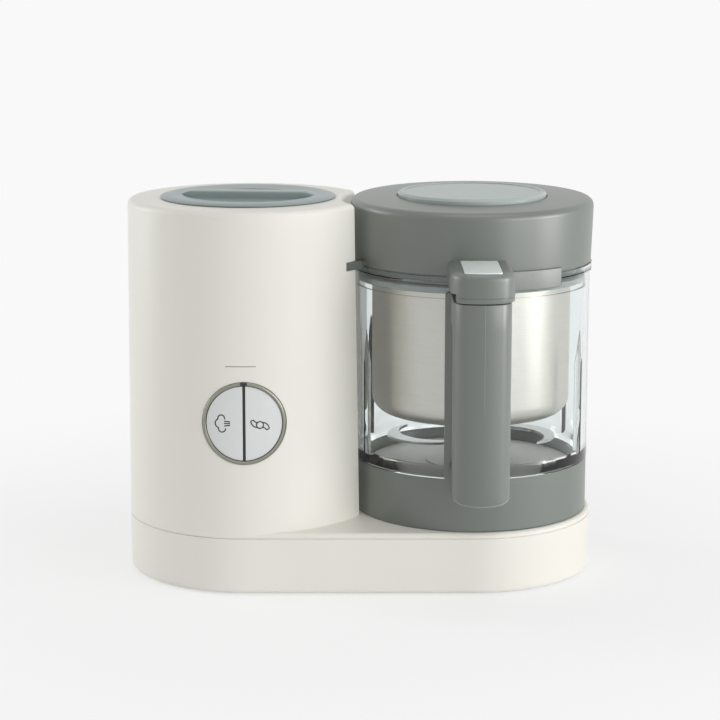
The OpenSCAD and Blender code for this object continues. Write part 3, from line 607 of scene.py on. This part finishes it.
stripValues = {"inR": 75.6, "rootR": 73.9, "wallLow": 196.4, "high": 199.4, "round": 0.6, "least": 0.2,
               "taper": 1.2, "steps": 28}
skirtValues = dict(stripValues, outR=77.0, low=187.7, start=-78.0, sweep=31.0)
catchValues = dict(stripValues, outR=76.0, low=196.4, start=199.0, sweep=8.0)


def lidProfile(v):
    top, edge = v["top"], v["edgeR"]
    crown = top + v["crown"]
    return ([(v["lipR"], v["low"]), (v["footR"] - 0.3, v["low"]), (v["footR"], v["low"] + 0.3)]
            + arcPoints(v["wallR"] - edge, top - edge, edge, 0, 88, 12)
            + [(v["seatR"], crown + 0.02), (v["seatR"], crown - 0.06),
               (v["holeR"] + 0.3, crown - 0.06), (v["holeR"], crown - 0.3),
               (v["holeR"], top - v["collarDeep"]), (v["holeR"] + v["collar"], top - v["collarDeep"]),
               (v["holeR"] + v["collar"], top - v["roofT"]), (v["inR"], top - v["roofT"]),
               (v["inR"], v["webTop"]), (v["plugIn"], v["webTop"]), (v["plugIn"], v["plugLow"]),
               (v["plugR"], v["plugLow"]), (v["plugR"], v["webLow"]), (v["lipR"], v["webLow"])])


def leanTop(v, verts):
    # the top rises a little towards the back, outside the seat of the filling disc
    leaned = []
    for x, y, z in verts:
        r = math.hypot(x - jugAxis.x, y - jugAxis.y) / mm
        share = min(1.0, max(0.0, (z / mm - v["top"] + 2 * v["edgeR"]) / v["edgeR"]))
        onSeatEdge = r > v["seatR"] - 0.01 and z / mm > v["top"] + v["crown"] - 0.01
        if onSeatEdge or r > v["seatR"] + 1 and share > 0:
            z += v["lean"] * share * ((y - jugAxis.y) / mm / v["wallR"] + 1) / 2 * mm
        leaned.append((x, y, z))
    return leaned


def lugMesh(v):
    # the visor in front hangs lower than the side walls
    def flat(value):
        return lambda x: value

    def visorBack(x):
        return frontLine(x, v, 0)[1] + (v["visor"] if abs(x) < v["halfWidth"] - 2 else v["visorSide"])

    lidBack = flat(v["backY"])

    rings = []
    for sine, cosine in quarterTurn(3):
        rings.append(planRing(v, v["edge"] * (1 - sine), visorBack,
                              flat(v["low"] + v["edge"] * (1 - cosine)), v["visorLeft"]))
    # a fine groove runs round the visor, then the lug widens to the lid
    for drop, inset in ((2.3, 0.0), (2.15, 0.22), (1.8, 0.22), (1.65, 0.0), (0.0, 0.0)):
        rings.append(planRing(v, inset, visorBack, flat(v["sideLow"] - drop), v["visorLeft"]))
    rings.append(planRing(v, 0, visorBack, flat(v["sideLow"])))
    rings.append(planRing(v, 0, lidBack, flat(v["sideLow"])))
    for sine, cosine in quarterTurn(8):
        rings.append(planRing(v, v["topR"] * (1 - cosine), lidBack, flat(v["high"] - v["topR"] * (1 - sine))))
    return loft(rings)


def arcBlock(v):
    # a strip round the lid's wall with a rounded upper edge and ends that taper over a degree or so
    rings = []
    low, steps, r = v["low"], v["steps"], v["round"]
    for k in range(steps + 1):
        a = math.radians(v["start"] + v["sweep"] * k / steps)
        near = min(k, steps - k) / steps * v["sweep"]
        out = v["outR"] - (v["outR"] - v["inR"] - v["least"]) * max(0.0, 1 - near / v["taper"]) ** 2
        profile = [(v["rootR"], v["wallLow"])]
        if low < v["wallLow"]:
            profile += [(v["inR"], v["wallLow"]), (v["inR"], low), (out - 0.3, low), (out, low + 0.3)]
        else:
            profile += [(v["inR"], low), (out, low), (out, low + 0.2), (out, low + 0.4)]
        profile += arcPoints(out - r, v["high"] - r, r, 0, 90, 4) + [(v["rootR"], v["high"])]
        rings.append([besideJug(x * math.cos(a), x * math.sin(a), z) for x, z in profile])
    return loft(rings)


def keyOutline(v, half, inset, back):
    # straight sides and a front that runs beside the lug's crown, with rounded corners
    key = dict(v, reach=v["reach"] - inset, halfWidth=half, frontR=v["frontR"] - inset,
               cornerR=v["pocketR"])
    front = [frontLine(-half * math.cos(math.pi * k / 32), key, 0) for k in range(33)]
    return front + [(half, back), (-half, back)]


def makeLid(v, lug):
    verts, faces = revolve(lidProfile(v), v["steps"], besideJug)
    body = makePiece("lidBody", leanTop(v, verts), faces, "greenPp")
    port = [[besideJug(x, v["portR"] * math.cos(a), v["portZ"] + v["portR"] * math.sin(a))
             for a in [math.tau * k / 48 for k in range(48)]]
            for x in (-v["wallR"] - 3, -v["inR"] + 3)]
    carve(body, makePiece("portCutter", *loft(port), "greenPp"), "lidBody")
    horn = makePiece("lidLug", *lugMesh(lug), "greenPp")
    outline = keyOutline(lug, lug["pocketHalf"], lug["pocketInset"], lug["pocketBack"])
    pocket = [[onHandle(x, y, z) for x, y in outline] for z in (lug["pocketLow"], lug["high"] + 2)]
    carve(horn, makePiece("pocketCutter", *loft(pocket), "greenPp"), "lidLug")
    parts = []
    for source in (body, horn):
        parts.append(meshParts(source))
        bpy.data.objects.remove(source)
    parts += [arcBlock(skirtValues), arcBlock(catchValues)]
    shell = makePiece("lidShell", *joinParts(parts), "greenPp", "lid")
    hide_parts("lid_shell")
    return shell


lid = makeLid(lidValues, lugValues)
print("lid made:", len(lid.data.polygons), "faces")


# the pale key that lets the lid go, in the lug's pocket; its colour is painted lighter against the shade
# there
latchValues = {"half": 11.15, "inset": 2.95, "back": -75.7, "low": 202.8, "high": 206.35, "edge": 0.5,
               "middleY": -99.5}


def makeLatchKey(v, lug):
    rings = [[onHandle(x, y, v["low"]) for x, y in keyOutline(lug, v["half"], v["inset"], v["back"])]]
    for sine, cosine in quarterTurn(5):
        inset = v["edge"] * (1 - cosine)
        outline = keyOutline(lug, v["half"] - inset, v["inset"] + inset, v["back"] - inset)
        rings.append([onHandle(x, y, v["high"] - v["edge"] * (1 - sine)) for x, y in outline])
    # the key's finish is the disc's plastic painted lighter, as painted light against the lid's shade
    key = makePiece("latchKey", *loft(rings), "latchPp", "latch")
    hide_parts("latch_button")


makeLatchKey(latchValues, lugValues)


# the basket's rim, which shows as a pale band through the glass
rimValues = {"lower": 2.9, "width": 8.9, "round": 0.6, "steps": 160}


def makeBasketRim(v):
    low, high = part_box("basket_rim")
    outer = (high.x - low.x) / 2 / mm
    inner, bottom, top, r = outer - v["width"], low.z / mm + v["lower"], high.z / mm, v["round"]
    profile = ([(inner, top), (inner, bottom)] + arcPoints(outer - r, bottom + r, r, -90, 0, 5)
               + arcPoints(outer - r, top - r, r, 0, 90, 5))
    rim = makePiece("basketRim", *revolve(profile, v["steps"], besideJug), "rimPp", "basket")
    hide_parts("basket_rim")


makeBasketRim(rimValues)


# the water tank's cap: a thin round plate with a lens-shaped well and a raised bar across it
capValues = {
    "r": 54.6, "low": 235.3, "top": 237.1, "plugR": 46.0, "plugIn": 43.6, "wellLong": 42.0,
    "wellWide": 34.0, "wellDeep": 3.0, "turn": -5.0, "barLong": 43.4, "barY": 3.5, "barHalf": 6.0,
    "barUp": 1.5, "barEdge": 1.0, "barRise": 8.0, "barFoot": 0.6, "steps": 180,
    # the rim is crowned: (in from its edge, below the top)
    "rimDrops": ((0.12, 1.2), (0.5, 0.95), (1.2, 0.72), (2.2, 0.48), (3.4, 0.24), (4.8, 0.07),
                 (6.4, 0.0), (8.4, 0.05), (11.0, 0.25), (14.5, 0.65), (19.0, 1.1)),
}


def makeCap(v):
    top, low = v["top"], v["low"]
    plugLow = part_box("tank_cap")[0].z / mm
    profile = ([(0.0, low - v["wellDeep"]), (v["plugIn"], low - v["wellDeep"]), (v["plugIn"], plugLow),
                (v["plugR"], plugLow), (v["plugR"], low), (v["r"] - 0.4, low), (v["r"], low + 0.35)]
               + [(v["r"] - within, top - drop) for within, drop in v["rimDrops"]]
               + [(0.0, top - 1.2)])
    cap = makePiece("capBody", *revolve(profile, v["steps"], besideTower), "capPp")

    def onCap(x, y, z):
        return besideTower(*turned(x, y, v["turn"]), z)

    # the well is where two circles meet, so its ends are pointed
    long, wide = v["wellLong"], v["wellWide"]
    r = (long ** 2 + wide ** 2) / (2 * wide)
    half = math.degrees(math.asin(long / r))
    front = arcPoints(0, r - wide, r, -90 - half, -90 + half, 48)
    outline = front + [(-x, -y) for x, y in front[1:-1]]
    floorZ = top - v["wellDeep"]
    well = [[onCap(x * s, y * s, z) for x, y in outline]
            for s, z in ((0.955, floorZ), (0.985, floorZ + 0.5), (0.995, floorZ + 1.4),
                         (1.0, top - 0.35), (1.008, top), (1.008, top + 2))]
    carve(cap, makePiece("wellCutter", *loft(well), "capPp"), "capBody")
    bar = []
    for k in range(49):
        x = -v["barLong"] * math.cos(math.pi * k / 48)
        rise = min(1.0, (v["barLong"] - abs(x)) / v["barRise"])
        up = top - v["barFoot"] + (v["barUp"] + v["barFoot"]) * rise * rise * (3 - 2 * rise)
        half, edge = v["barHalf"] * (0.7 + 0.3 * min(1.0, rise * 1.6)), v["barEdge"]
        section = ([(-half, floorZ - 0.3)]
                   + [(-y, z) for y, z in arcPoints(half - edge, up - edge, edge, 0, 90, 5)]
                   + arcPoints(half - edge, up - edge, edge, 90, 0, 5) + [(half, floorZ - 0.3)])
        bar.append([onCap(x, v["barY"] + y, z) for y, z in section])
    verts, faces = joinParts([meshParts(cap), loft(bar)])
    bpy.data.objects.remove(cap)
    piece = makePiece("tankCap", verts, faces, "capPp", "cap")
    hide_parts("tank_cap")


makeCap(capValues)
print("key, rim and cap made")


# the control ring: a rounded metal bead round both buttons, with the bar between them
ringValues = {
    "outR": 25.3, "inR": 23.2, "proud": 0.9, "edge": 0.25, "wall": 9.0, "centreZ": 107.3, "steps": 144,
    "barWidth": 1.1, "barOver": 0.4, "barShoulder": 0.3, "barFace": 0.15,
    "lightHalf": 4.9, "lightR": 24.2, "lightSpread": 1.03, "lightLift": 0.06, "lightRoot": 2.0,
    "deckR": 76.4, "draft": 1.6, "draftLow": 39.0, "draftHigh": 235.0,
}


def towerWall(x, z, out=0.0):
    # a point on the tower's front wall, which narrows a little towards its top
    v = ringValues
    r = v["deckR"] - v["draft"] * (z - v["draftLow"]) / (v["draftHigh"] - v["draftLow"]) + out
    return besideTower(x, -math.sqrt(r * r - x * x), z)


def makeRing(v):
    half, middle = (v["outR"] - v["inR"]) / 2, (v["outR"] + v["inR"]) / 2
    profile = [(half, -v["wall"]), (half, v["edge"])]
    profile += [(half * math.cos(a), v["edge"] + (v["proud"] - v["edge"]) * math.sin(a))
                for a in [math.pi * k / 8 for k in range(1, 8)]]
    profile += [(-half, v["edge"]), (-half, -v["wall"])]
    rings = []
    for k in range(v["steps"]):
        a = math.tau * k / v["steps"]
        rings.append([towerWall((middle + s) * math.cos(a), v["centreZ"] + (middle + s) * math.sin(a), h)
                      for s, h in profile])
    ring = makePiece("controlRing", *loft(rings, closed=True), "bezelMetal", "housing")
    bar = []
    w, shoulder, face = v["barWidth"] / 2, -v["barShoulder"], -v["barFace"]
    for k in range(25):
        z = v["centreZ"] - v["inR"] - v["barOver"] + 2 * (v["inR"] + v["barOver"]) * k / 24
        bar.append([towerWall(x, z, h) for x, h in (
            (w, -v["wall"]), (w, shoulder), (w * 0.5, face), (-w * 0.5, face), (-w, shoulder),
            (-w, -v["wall"]))])
    divider = makePiece("keyDivider", *loft(bar), "blackNylon", "housing")
    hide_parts("control_bezel")
    # the status light is a short dark length of the ring at its top
    rings = []
    lens = [(middle + s * v["lightSpread"], h + v["lightLift"] if h > 0 else -v["lightRoot"])
            for s, h in profile]
    for k in range(13):
        a = math.radians(90 - v["lightHalf"] + 2 * v["lightHalf"] * k / 12)
        rings.append([towerWall(r * math.cos(a), v["centreZ"] + r * math.sin(a), h) for r, h in lens])
    light = makePiece("statusLens", *loft(rings), "darkLens", "housing")
    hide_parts("status_light")
    return ring


controlRing = makeRing(ringValues)


# printed strokes on the tower's curved wall
def smoothLine(points, steps=6):
    # a Catmull-Rom curve through the points
    line = []
    last = len(points) - 1
    for i in range(last):
        a, b, c, d = (Vector(points[j]) for j in (max(i - 1, 0), i, i + 1, min(i + 2, last)))
        for k in range(steps):
            t = k / steps
            line.append(0.5 * (2 * b + (c - a) * t + (2 * a - 5 * b + 4 * c - d) * t * t
                               + (3 * b - a - 3 * c + d) * t ** 3))
    return [tuple(p) for p in line] + [points[-1]]


def stroke(points, width, centreX, centreZ, lift, sink):
    # a thin closed ribbon along points (x, z) in mm, laid over the wall
    rings = []
    for i, (x, z) in enumerate(points):
        before, after = points[max(i - 1, 0)], points[min(i + 1, len(points) - 1)]
        along = Vector((after[0] - before[0], after[1] - before[1])).normalized()
        side = Vector((-along.y, along.x)) * width / 2
        ends = [(x + side.x, z + side.y), (x - side.x, z - side.y)]
        rings.append([towerWall(centreX + px, centreZ + pz, out) for (px, pz), out in (
            (ends[0], -sink), (ends[0], lift), (ends[1], lift), (ends[1], -sink))])
    return loft(rings)


def wallPlace(x, y, objects):
    # image point to (x, z) in mm about the tower's axis
    hit = placeOn(surfaceTree(objects), x, y)
    return (hit.x - towerAxis.x) / mm, hit.z / mm


# a puff of steam with three jets, and a hub with two blades, both of own design
iconValues = {"width": 0.72, "lift": -0.04, "sink": 0.35}
steamLines = [
    arcPoints(-0.74, 2.86, 2.05, -14, 192, 16)
    + arcPoints(-1.6, -0.2, 2.85, 118, 247, 14)
    + arcPoints(-0.36, -3.45, 2.15, 166, 366, 16),
    [(1.0, 1.15), (2.6, 1.0), (4.6, 0.75)],
    [(0.9, -0.25), (4.6, -0.25)],
    [(1.0, -1.75), (2.6, -1.6), (4.6, -1.25)],
]
bladePoints = [(1.5, 1.5), (3.3, 1.05), (4.9, -0.5), (5.45, -2.2), (4.0, -2.95), (3.0, -2.0), (1.7, -1.4)]
bladeLines = [arcPoints(0, 0, 2.1, 0, 360, 28), smoothLine(bladePoints),
              smoothLine([(-x, -z) for x, z in bladePoints])]


def makeIcon(name, lines, point, button, body, v):
    centreX, centreZ = wallPlace(*imagePoints[point], [frame["nodes"][button]])
    parts = [stroke(line, v["width"], centreX, centreZ, v["lift"], v["sink"]) for line in lines]
    icon = makePiece(name, *joinParts(parts), "iconInk", body)
    shownAt[point] = Vector(towerWall(centreX, centreZ, 0))


shownAt = {}
makeIcon("steamIcon", steamLines, "steamIcon", "steam_button", "steam_key", iconValues)
makeIcon("bladeIcon", bladeLines, "bladeIcon", "blend_button", "blend_key", iconValues)

# a plain fine line on the tower
trimValues = {"length": 18.4, "width": 0.5, "lift": 0.03, "sink": 0.3}


def makeTrimLine(v):
    centreX, centreZ = wallPlace(*imagePoints["trimLine"], [frame["nodes"]["upper_housing"]])
    half = v["length"] / 2
    points = [(-half + v["length"] * k / 12, 0) for k in range(13)]
    ribbon = stroke(points, v["width"], centreX, centreZ, v["lift"], v["sink"])
    line = makePiece("trimLine", *ribbon, "trimInk", "housing")
    shownAt["trimLine"] = Vector(towerWall(centreX, centreZ, 0))
    return line


trimLine = makeTrimLine(trimValues)
print("ring, icons and trim line made")


# the screws under the base: one Geometry Nodes tree sets a hex-socket screw on each point
screwValues = {"headRadius": 3.6, "headHeight": 2.4, "socketRadius": 1.7, "socketDepth": 1.5,
               "shankRadius": 1.6}


def standingSolid(tree, radius, depth, lift, sides):
    # a cylinder of the tree, moved up so that it starts at lift
    solid = addNode(tree, "GeometryNodeMeshCylinder", {"Vertices": sides},
                    {"Radius": radius, "Depth": depth})
    half = addNode(tree, "ShaderNodeMath", {1: 0.5}, {0: depth}, operation="MULTIPLY")
    height = addNode(tree, "ShaderNodeMath", {1: 0.0}, {0: half.outputs[0]}, operation="ADD")
    if lift is not None:
        tree.links.new(lift, height.inputs[1])
    place = addNode(tree, "ShaderNodeCombineXYZ", links={"Z": height.outputs[0]})
    return addNode(tree, "GeometryNodeTransform", links={"Geometry": solid.outputs["Mesh"],
                                                         "Translation": place.outputs[0]}).outputs[0]


def makeScrewTree():
    tree = bpy.data.node_groups.new("screwsOnPoints", "GeometryNodeTree")
    tree.interface.new_socket("Geometry", in_out="INPUT", socket_type="NodeSocketGeometry")
    for name in ("Head Radius", "Head Height", "Socket Radius", "Socket Depth", "Shank Radius",
                 "Shank Length"):
        tree.interface.new_socket(name, in_out="INPUT", socket_type="NodeSocketFloat")
    tree.interface.new_socket("Finish", in_out="INPUT", socket_type="NodeSocketMaterial")
    tree.interface.new_socket("Geometry", in_out="OUTPUT", socket_type="NodeSocketGeometry")
    given = addNode(tree, "NodeGroupInput").outputs
    head = standingSolid(tree, given["Head Radius"], given["Head Height"], None, 48)
    shank = standingSolid(tree, given["Shank Radius"], given["Shank Length"], given["Head Height"], 24)
    socket = standingSolid(tree, given["Socket Radius"], given["Socket Depth"], None, 6)
    cut = addNode(tree, "GeometryNodeMeshBoolean", links={"Mesh 1": head, "Mesh 2": socket},
                  operation="DIFFERENCE")
    whole = addNode(tree, "GeometryNodeJoinGeometry")
    tree.links.new(cut.outputs["Mesh"], whole.inputs[0])
    tree.links.new(shank, whole.inputs[0])
    points = addNode(tree, "GeometryNodeMeshToPoints", links={"Mesh": given["Geometry"]})
    placed = addNode(tree, "GeometryNodeInstanceOnPoints", links={"Points": points.outputs[0],
                                                                  "Instance": whole.outputs[0]})
    plain = addNode(tree, "GeometryNodeRealizeInstances", links={"Geometry": placed.outputs[0]})
    coated = addNode(tree, "GeometryNodeSetMaterial", links={"Geometry": plain.outputs[0],
                                                             "Material": given["Finish"]})
    addNode(tree, "NodeGroupOutput", links={"Geometry": coated.outputs[0]})
    return tree


def growPiece(name, points, tree, values, body):
    # runs the tree on loose points and keeps the result as a plain mesh
    mesh = bpy.data.meshes.new(name)
    mesh.from_pydata([tuple(p) for p in points], [], [])
    piece = bpy.data.objects.new(name, mesh)
    bpy.context.scene.collection.objects.link(piece)
    modifier = piece.modifiers.new("grow", "NODES")
    modifier.node_group = tree
    for item in tree.interface.items_tree:
        if item.in_out == "INPUT" and item.name in values:
            modifier[item.identifier] = values[item.name]
    grown = evaluatedMesh(piece)
    piece.modifiers.clear()
    piece.data = grown
    grown.name = name
    grown.set_sharp_from_angle(angle=sharpAngle)
    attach(piece, body)
    return piece


def makeBaseScrews(v):
    names = ["base_screw_" + str(k) for k in (1, 2, 3, 4)]
    points, height = [], 0
    for name in names:
        low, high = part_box(name)
        points.append(axisOf(name) + Vector((0, 0, low.z)))
        height = high.z - low.z
    screws = growPiece("baseScrews", points, makeScrewTree(), {
        "Head Radius": v["headRadius"] * mm, "Head Height": v["headHeight"] * mm,
        "Socket Radius": v["socketRadius"] * mm, "Socket Depth": v["socketDepth"] * mm,
        "Shank Radius": v["shankRadius"] * mm, "Shank Length": height - v["headHeight"] * mm,
        "Finish": finishes["polishedSteel"]}, "housing")
    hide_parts(*names)
    return screws


baseScrews = makeBaseScrews(screwValues)
print("screws grown:", len(baseScrews.data.polygons), "faces")


# floor, backdrop and lamps
studio = {
    "floorRadius": 9.0,
    "floorRings": 24,
    "floorSides": 96,
    "backdrop": "F9F9F9",
    "shadowCore": 0.12,
    "shadowReach": 0.55,
    "shadowShare": 0.35,
    "worldStrength": 0.46,
    "aim": (0, 0, 0.12),
    "lamps": [
        # name, azimuth from the front towards +X, elevation, distance, width, height, power
        ("rightSoftbox", 75, 9, 1.6, 0.60, 0.66, 10.8),
        ("towerSoftbox", 72, 9, 1.6, 0.60, 0.66, 6.0),
        ("leftSoftbox", -108, 12, 1.6, 0.50, 1.1, 8.5),
        ("frontSoftbox", 42, 11, 1.7, 0.7, 0.8, 7.2),
        ("topSoftbox", 20, 78, 1.6, 1.2, 0.9, 4.0),
    ],
}


def plainRays(tree):
    # 1 for camera, glossy and transmitted rays, which see the backdrop as a plain bright tone
    path = addNode(tree, "ShaderNodeLightPath")
    seen = path.outputs["Is Camera Ray"]
    for ray in ("Is Glossy Ray", "Is Transmission Ray"):
        seen = addNode(tree, "ShaderNodeMath", links={0: seen, 1: path.outputs[ray]},
                       operation="MAXIMUM").outputs[0]
    return seen


def floorMix(tree, litShader, place, v):
    # the glow is the paper's tone; near the object the lit floor shows through it and brings the shadow
    distance = addNode(tree, "ShaderNodeVectorMath", links={0: place}, operation="LENGTH")
    near = addNode(tree, "ShaderNodeMapRange",
                   {"From Min": v["shadowReach"], "From Max": v["shadowCore"], "To Min": 0.0,
                    "To Max": v["shadowShare"]},
                   {"Value": distance.outputs["Value"]}, interpolation_type="SMOOTHSTEP")
    plain = addNode(tree, "ShaderNodeMath", {0: 1.0}, {1: near.outputs["Result"]}, operation="SUBTRACT")
    factor = addNode(tree, "ShaderNodeMath", links={0: plainRays(tree), 1: plain.outputs[0]},
                     operation="MULTIPLY")
    glow = addNode(tree, "ShaderNodeEmission", {"Color": hexColour(v["backdrop"]), "Strength": 1.0})
    return addNode(tree, "ShaderNodeMixShader",
                   links={0: factor.outputs[0], 1: litShader, 2: glow.outputs[0]})


def makeFloor(v):
    # a wide flat disc under the object, with finer rings near its middle
    bm = bmesh.new()
    sides = v["floorSides"]
    centre = bm.verts.new((0, 0, 0))
    last = None
    for i in range(1, v["floorRings"] + 1):
        r = v["floorRadius"] * (i / v["floorRings"]) ** 2
        row = [bm.verts.new((r * math.cos(math.tau * k / sides), r * math.sin(math.tau * k / sides), 0))
               for k in range(sides)]
        for k in range(sides):
            after = (k + 1) % sides
            inner = (centre,) if last is None else (last[after], last[k])
            bm.faces.new((*inner, row[k], row[after]))
        last = row
    mesh = bpy.data.meshes.new("studioFloor")
    bm.to_mesh(mesh)
    floor = bpy.data.objects.new("studioFloor", mesh)
    bpy.context.scene.collection.objects.link(floor)
    # white seamless paper, matt: takes the object's soft shadow
    mat, tree, shader, place = startMaterial("paperBackdrop", v["backdrop"])
    shader.inputs["Base Color"].default_value = hexColour(v["backdrop"])
    shader.inputs["Roughness"].default_value = 0.9
    mixed = floorMix(tree, shader.outputs["BSDF"], place, v)
    tree.links.new(mixed.outputs[0], tree.nodes["Material Output"].inputs["Surface"])
    mesh.materials.append(mat)


def makeWorld(v):
    world = bpy.data.worlds.new("studioWorld")
    world.use_nodes = True
    tree = world.node_tree
    tree.nodes.clear()
    strength = addNode(tree, "ShaderNodeMapRange", {"To Min": v["worldStrength"], "To Max": 1.0},
                       {"Value": plainRays(tree)})
    glow = addNode(tree, "ShaderNodeBackground", {"Color": hexColour(v["backdrop"])},
                   {"Strength": strength.outputs["Result"]})
    addNode(tree, "ShaderNodeOutputWorld", links={"Surface": glow.outputs[0]})
    bpy.context.scene.world = world


def makeLamp(name, azimuth, elevation, distance, width, height, power):
    data = bpy.data.lights.new(name, "AREA")
    data.shape = "RECTANGLE"
    data.size = width
    data.size_y = height
    data.energy = power
    lamp = bpy.data.objects.new(name, data)
    bpy.context.scene.collection.objects.link(lamp)
    aim, around, up = Vector(studio["aim"]), math.radians(azimuth), math.radians(elevation)
    flat = math.cos(up) * distance
    lamp.location = aim + Vector((flat * math.sin(around), -flat * math.cos(around),
                                  distance * math.sin(up)))
    lamp.rotation_euler = (aim - lamp.location).to_track_quat("-Z", "Y").to_euler()
    return lamp


def aimAt(lamp, name, receivers, blockers):
    # the lamp lights only the receivers, and only the blockers throw shadows in its light
    for kind, objects in (("receiver", receivers), ("blocker", blockers)):
        group = bpy.data.collections.new(name + kind.capitalize())
        for o in objects:
            group.objects.link(o)
        setattr(lamp.light_linking, kind + "_collection", group)


makeFloor(studio)
makeWorld(studio)
lamps = {row[0]: makeLamp(*row) for row in studio["lamps"]}

# the light from the right is split in two, so the jug's shadow stays off the white tower
whiteShell = [frame["nodes"][name] for name in ("upper_housing", "base_tub", "steam_button", "blend_button")]
whiteShell += [controlRing, trimLine]
others = [o for o in bpy.context.scene.objects if o.type == "MESH" and o not in whiteShell]
aimAt(lamps["towerSoftbox"], "tower", whiteShell, whiteShell)
aimAt(lamps["rightSoftbox"], "jug", others, others + whiteShell)
bpy.context.scene.view_settings.view_transform = "Standard"
print("studio ready:", len(studio["lamps"]), "lamps")


# how far each named thing shows from its point
def writePoints():
    shown = [o for o in bpy.context.scene.objects
             if o.type == "MESH" and o.get("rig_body") and not o.hide_render]
    xs, ys = zip(*[imagePlace(vert.co) for o in shown for vert in o.data.vertices])
    found = {"objectLeft": (min(xs), None), "objectRight": (max(xs), None),
             "objectTop": (None, min(ys)), "objectBottom": (None, max(ys))}
    found.update({name: imagePlace(place) for name, place in shownAt.items()})
    table = {}
    for name, (px, py) in imagePoints.items():
        sx, sy = found[name]
        table[name] = {"point": [px, py], "shows": [None if sx is None else round(sx, 1),
                                                    None if sy is None else round(sy, 1)],
                       "dx": None if px is None else round(sx - px, 1),
                       "dy": None if py is None else round(sy - py, 1)}
    for name, row in table.items():
        print("point", name, row["dx"], row["dy"])


shownAt["controlRing"] = sum(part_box("control_bezel"), Vector()) / 2
shownAt["statusLight"] = Vector(towerWall(0, ringValues["centreZ"] + ringValues["lightR"], 0))
shownAt["grip"] = Vector(onHandle(0, -gripValues["reach"], (gripValues["low"] + gripValues["high"]) / 2))
shownAt["latchButton"] = Vector(onHandle(0, latchValues["middleY"], latchValues["high"]))
shownAt["capBar"] = Vector(besideTower(0, capValues["barY"], capValues["top"] + capValues["barUp"]))
shownAt["fillingDisc"] = axisOf("lid_disc") + Vector((0, 0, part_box("lid_disc")[1].z))
writePoints()
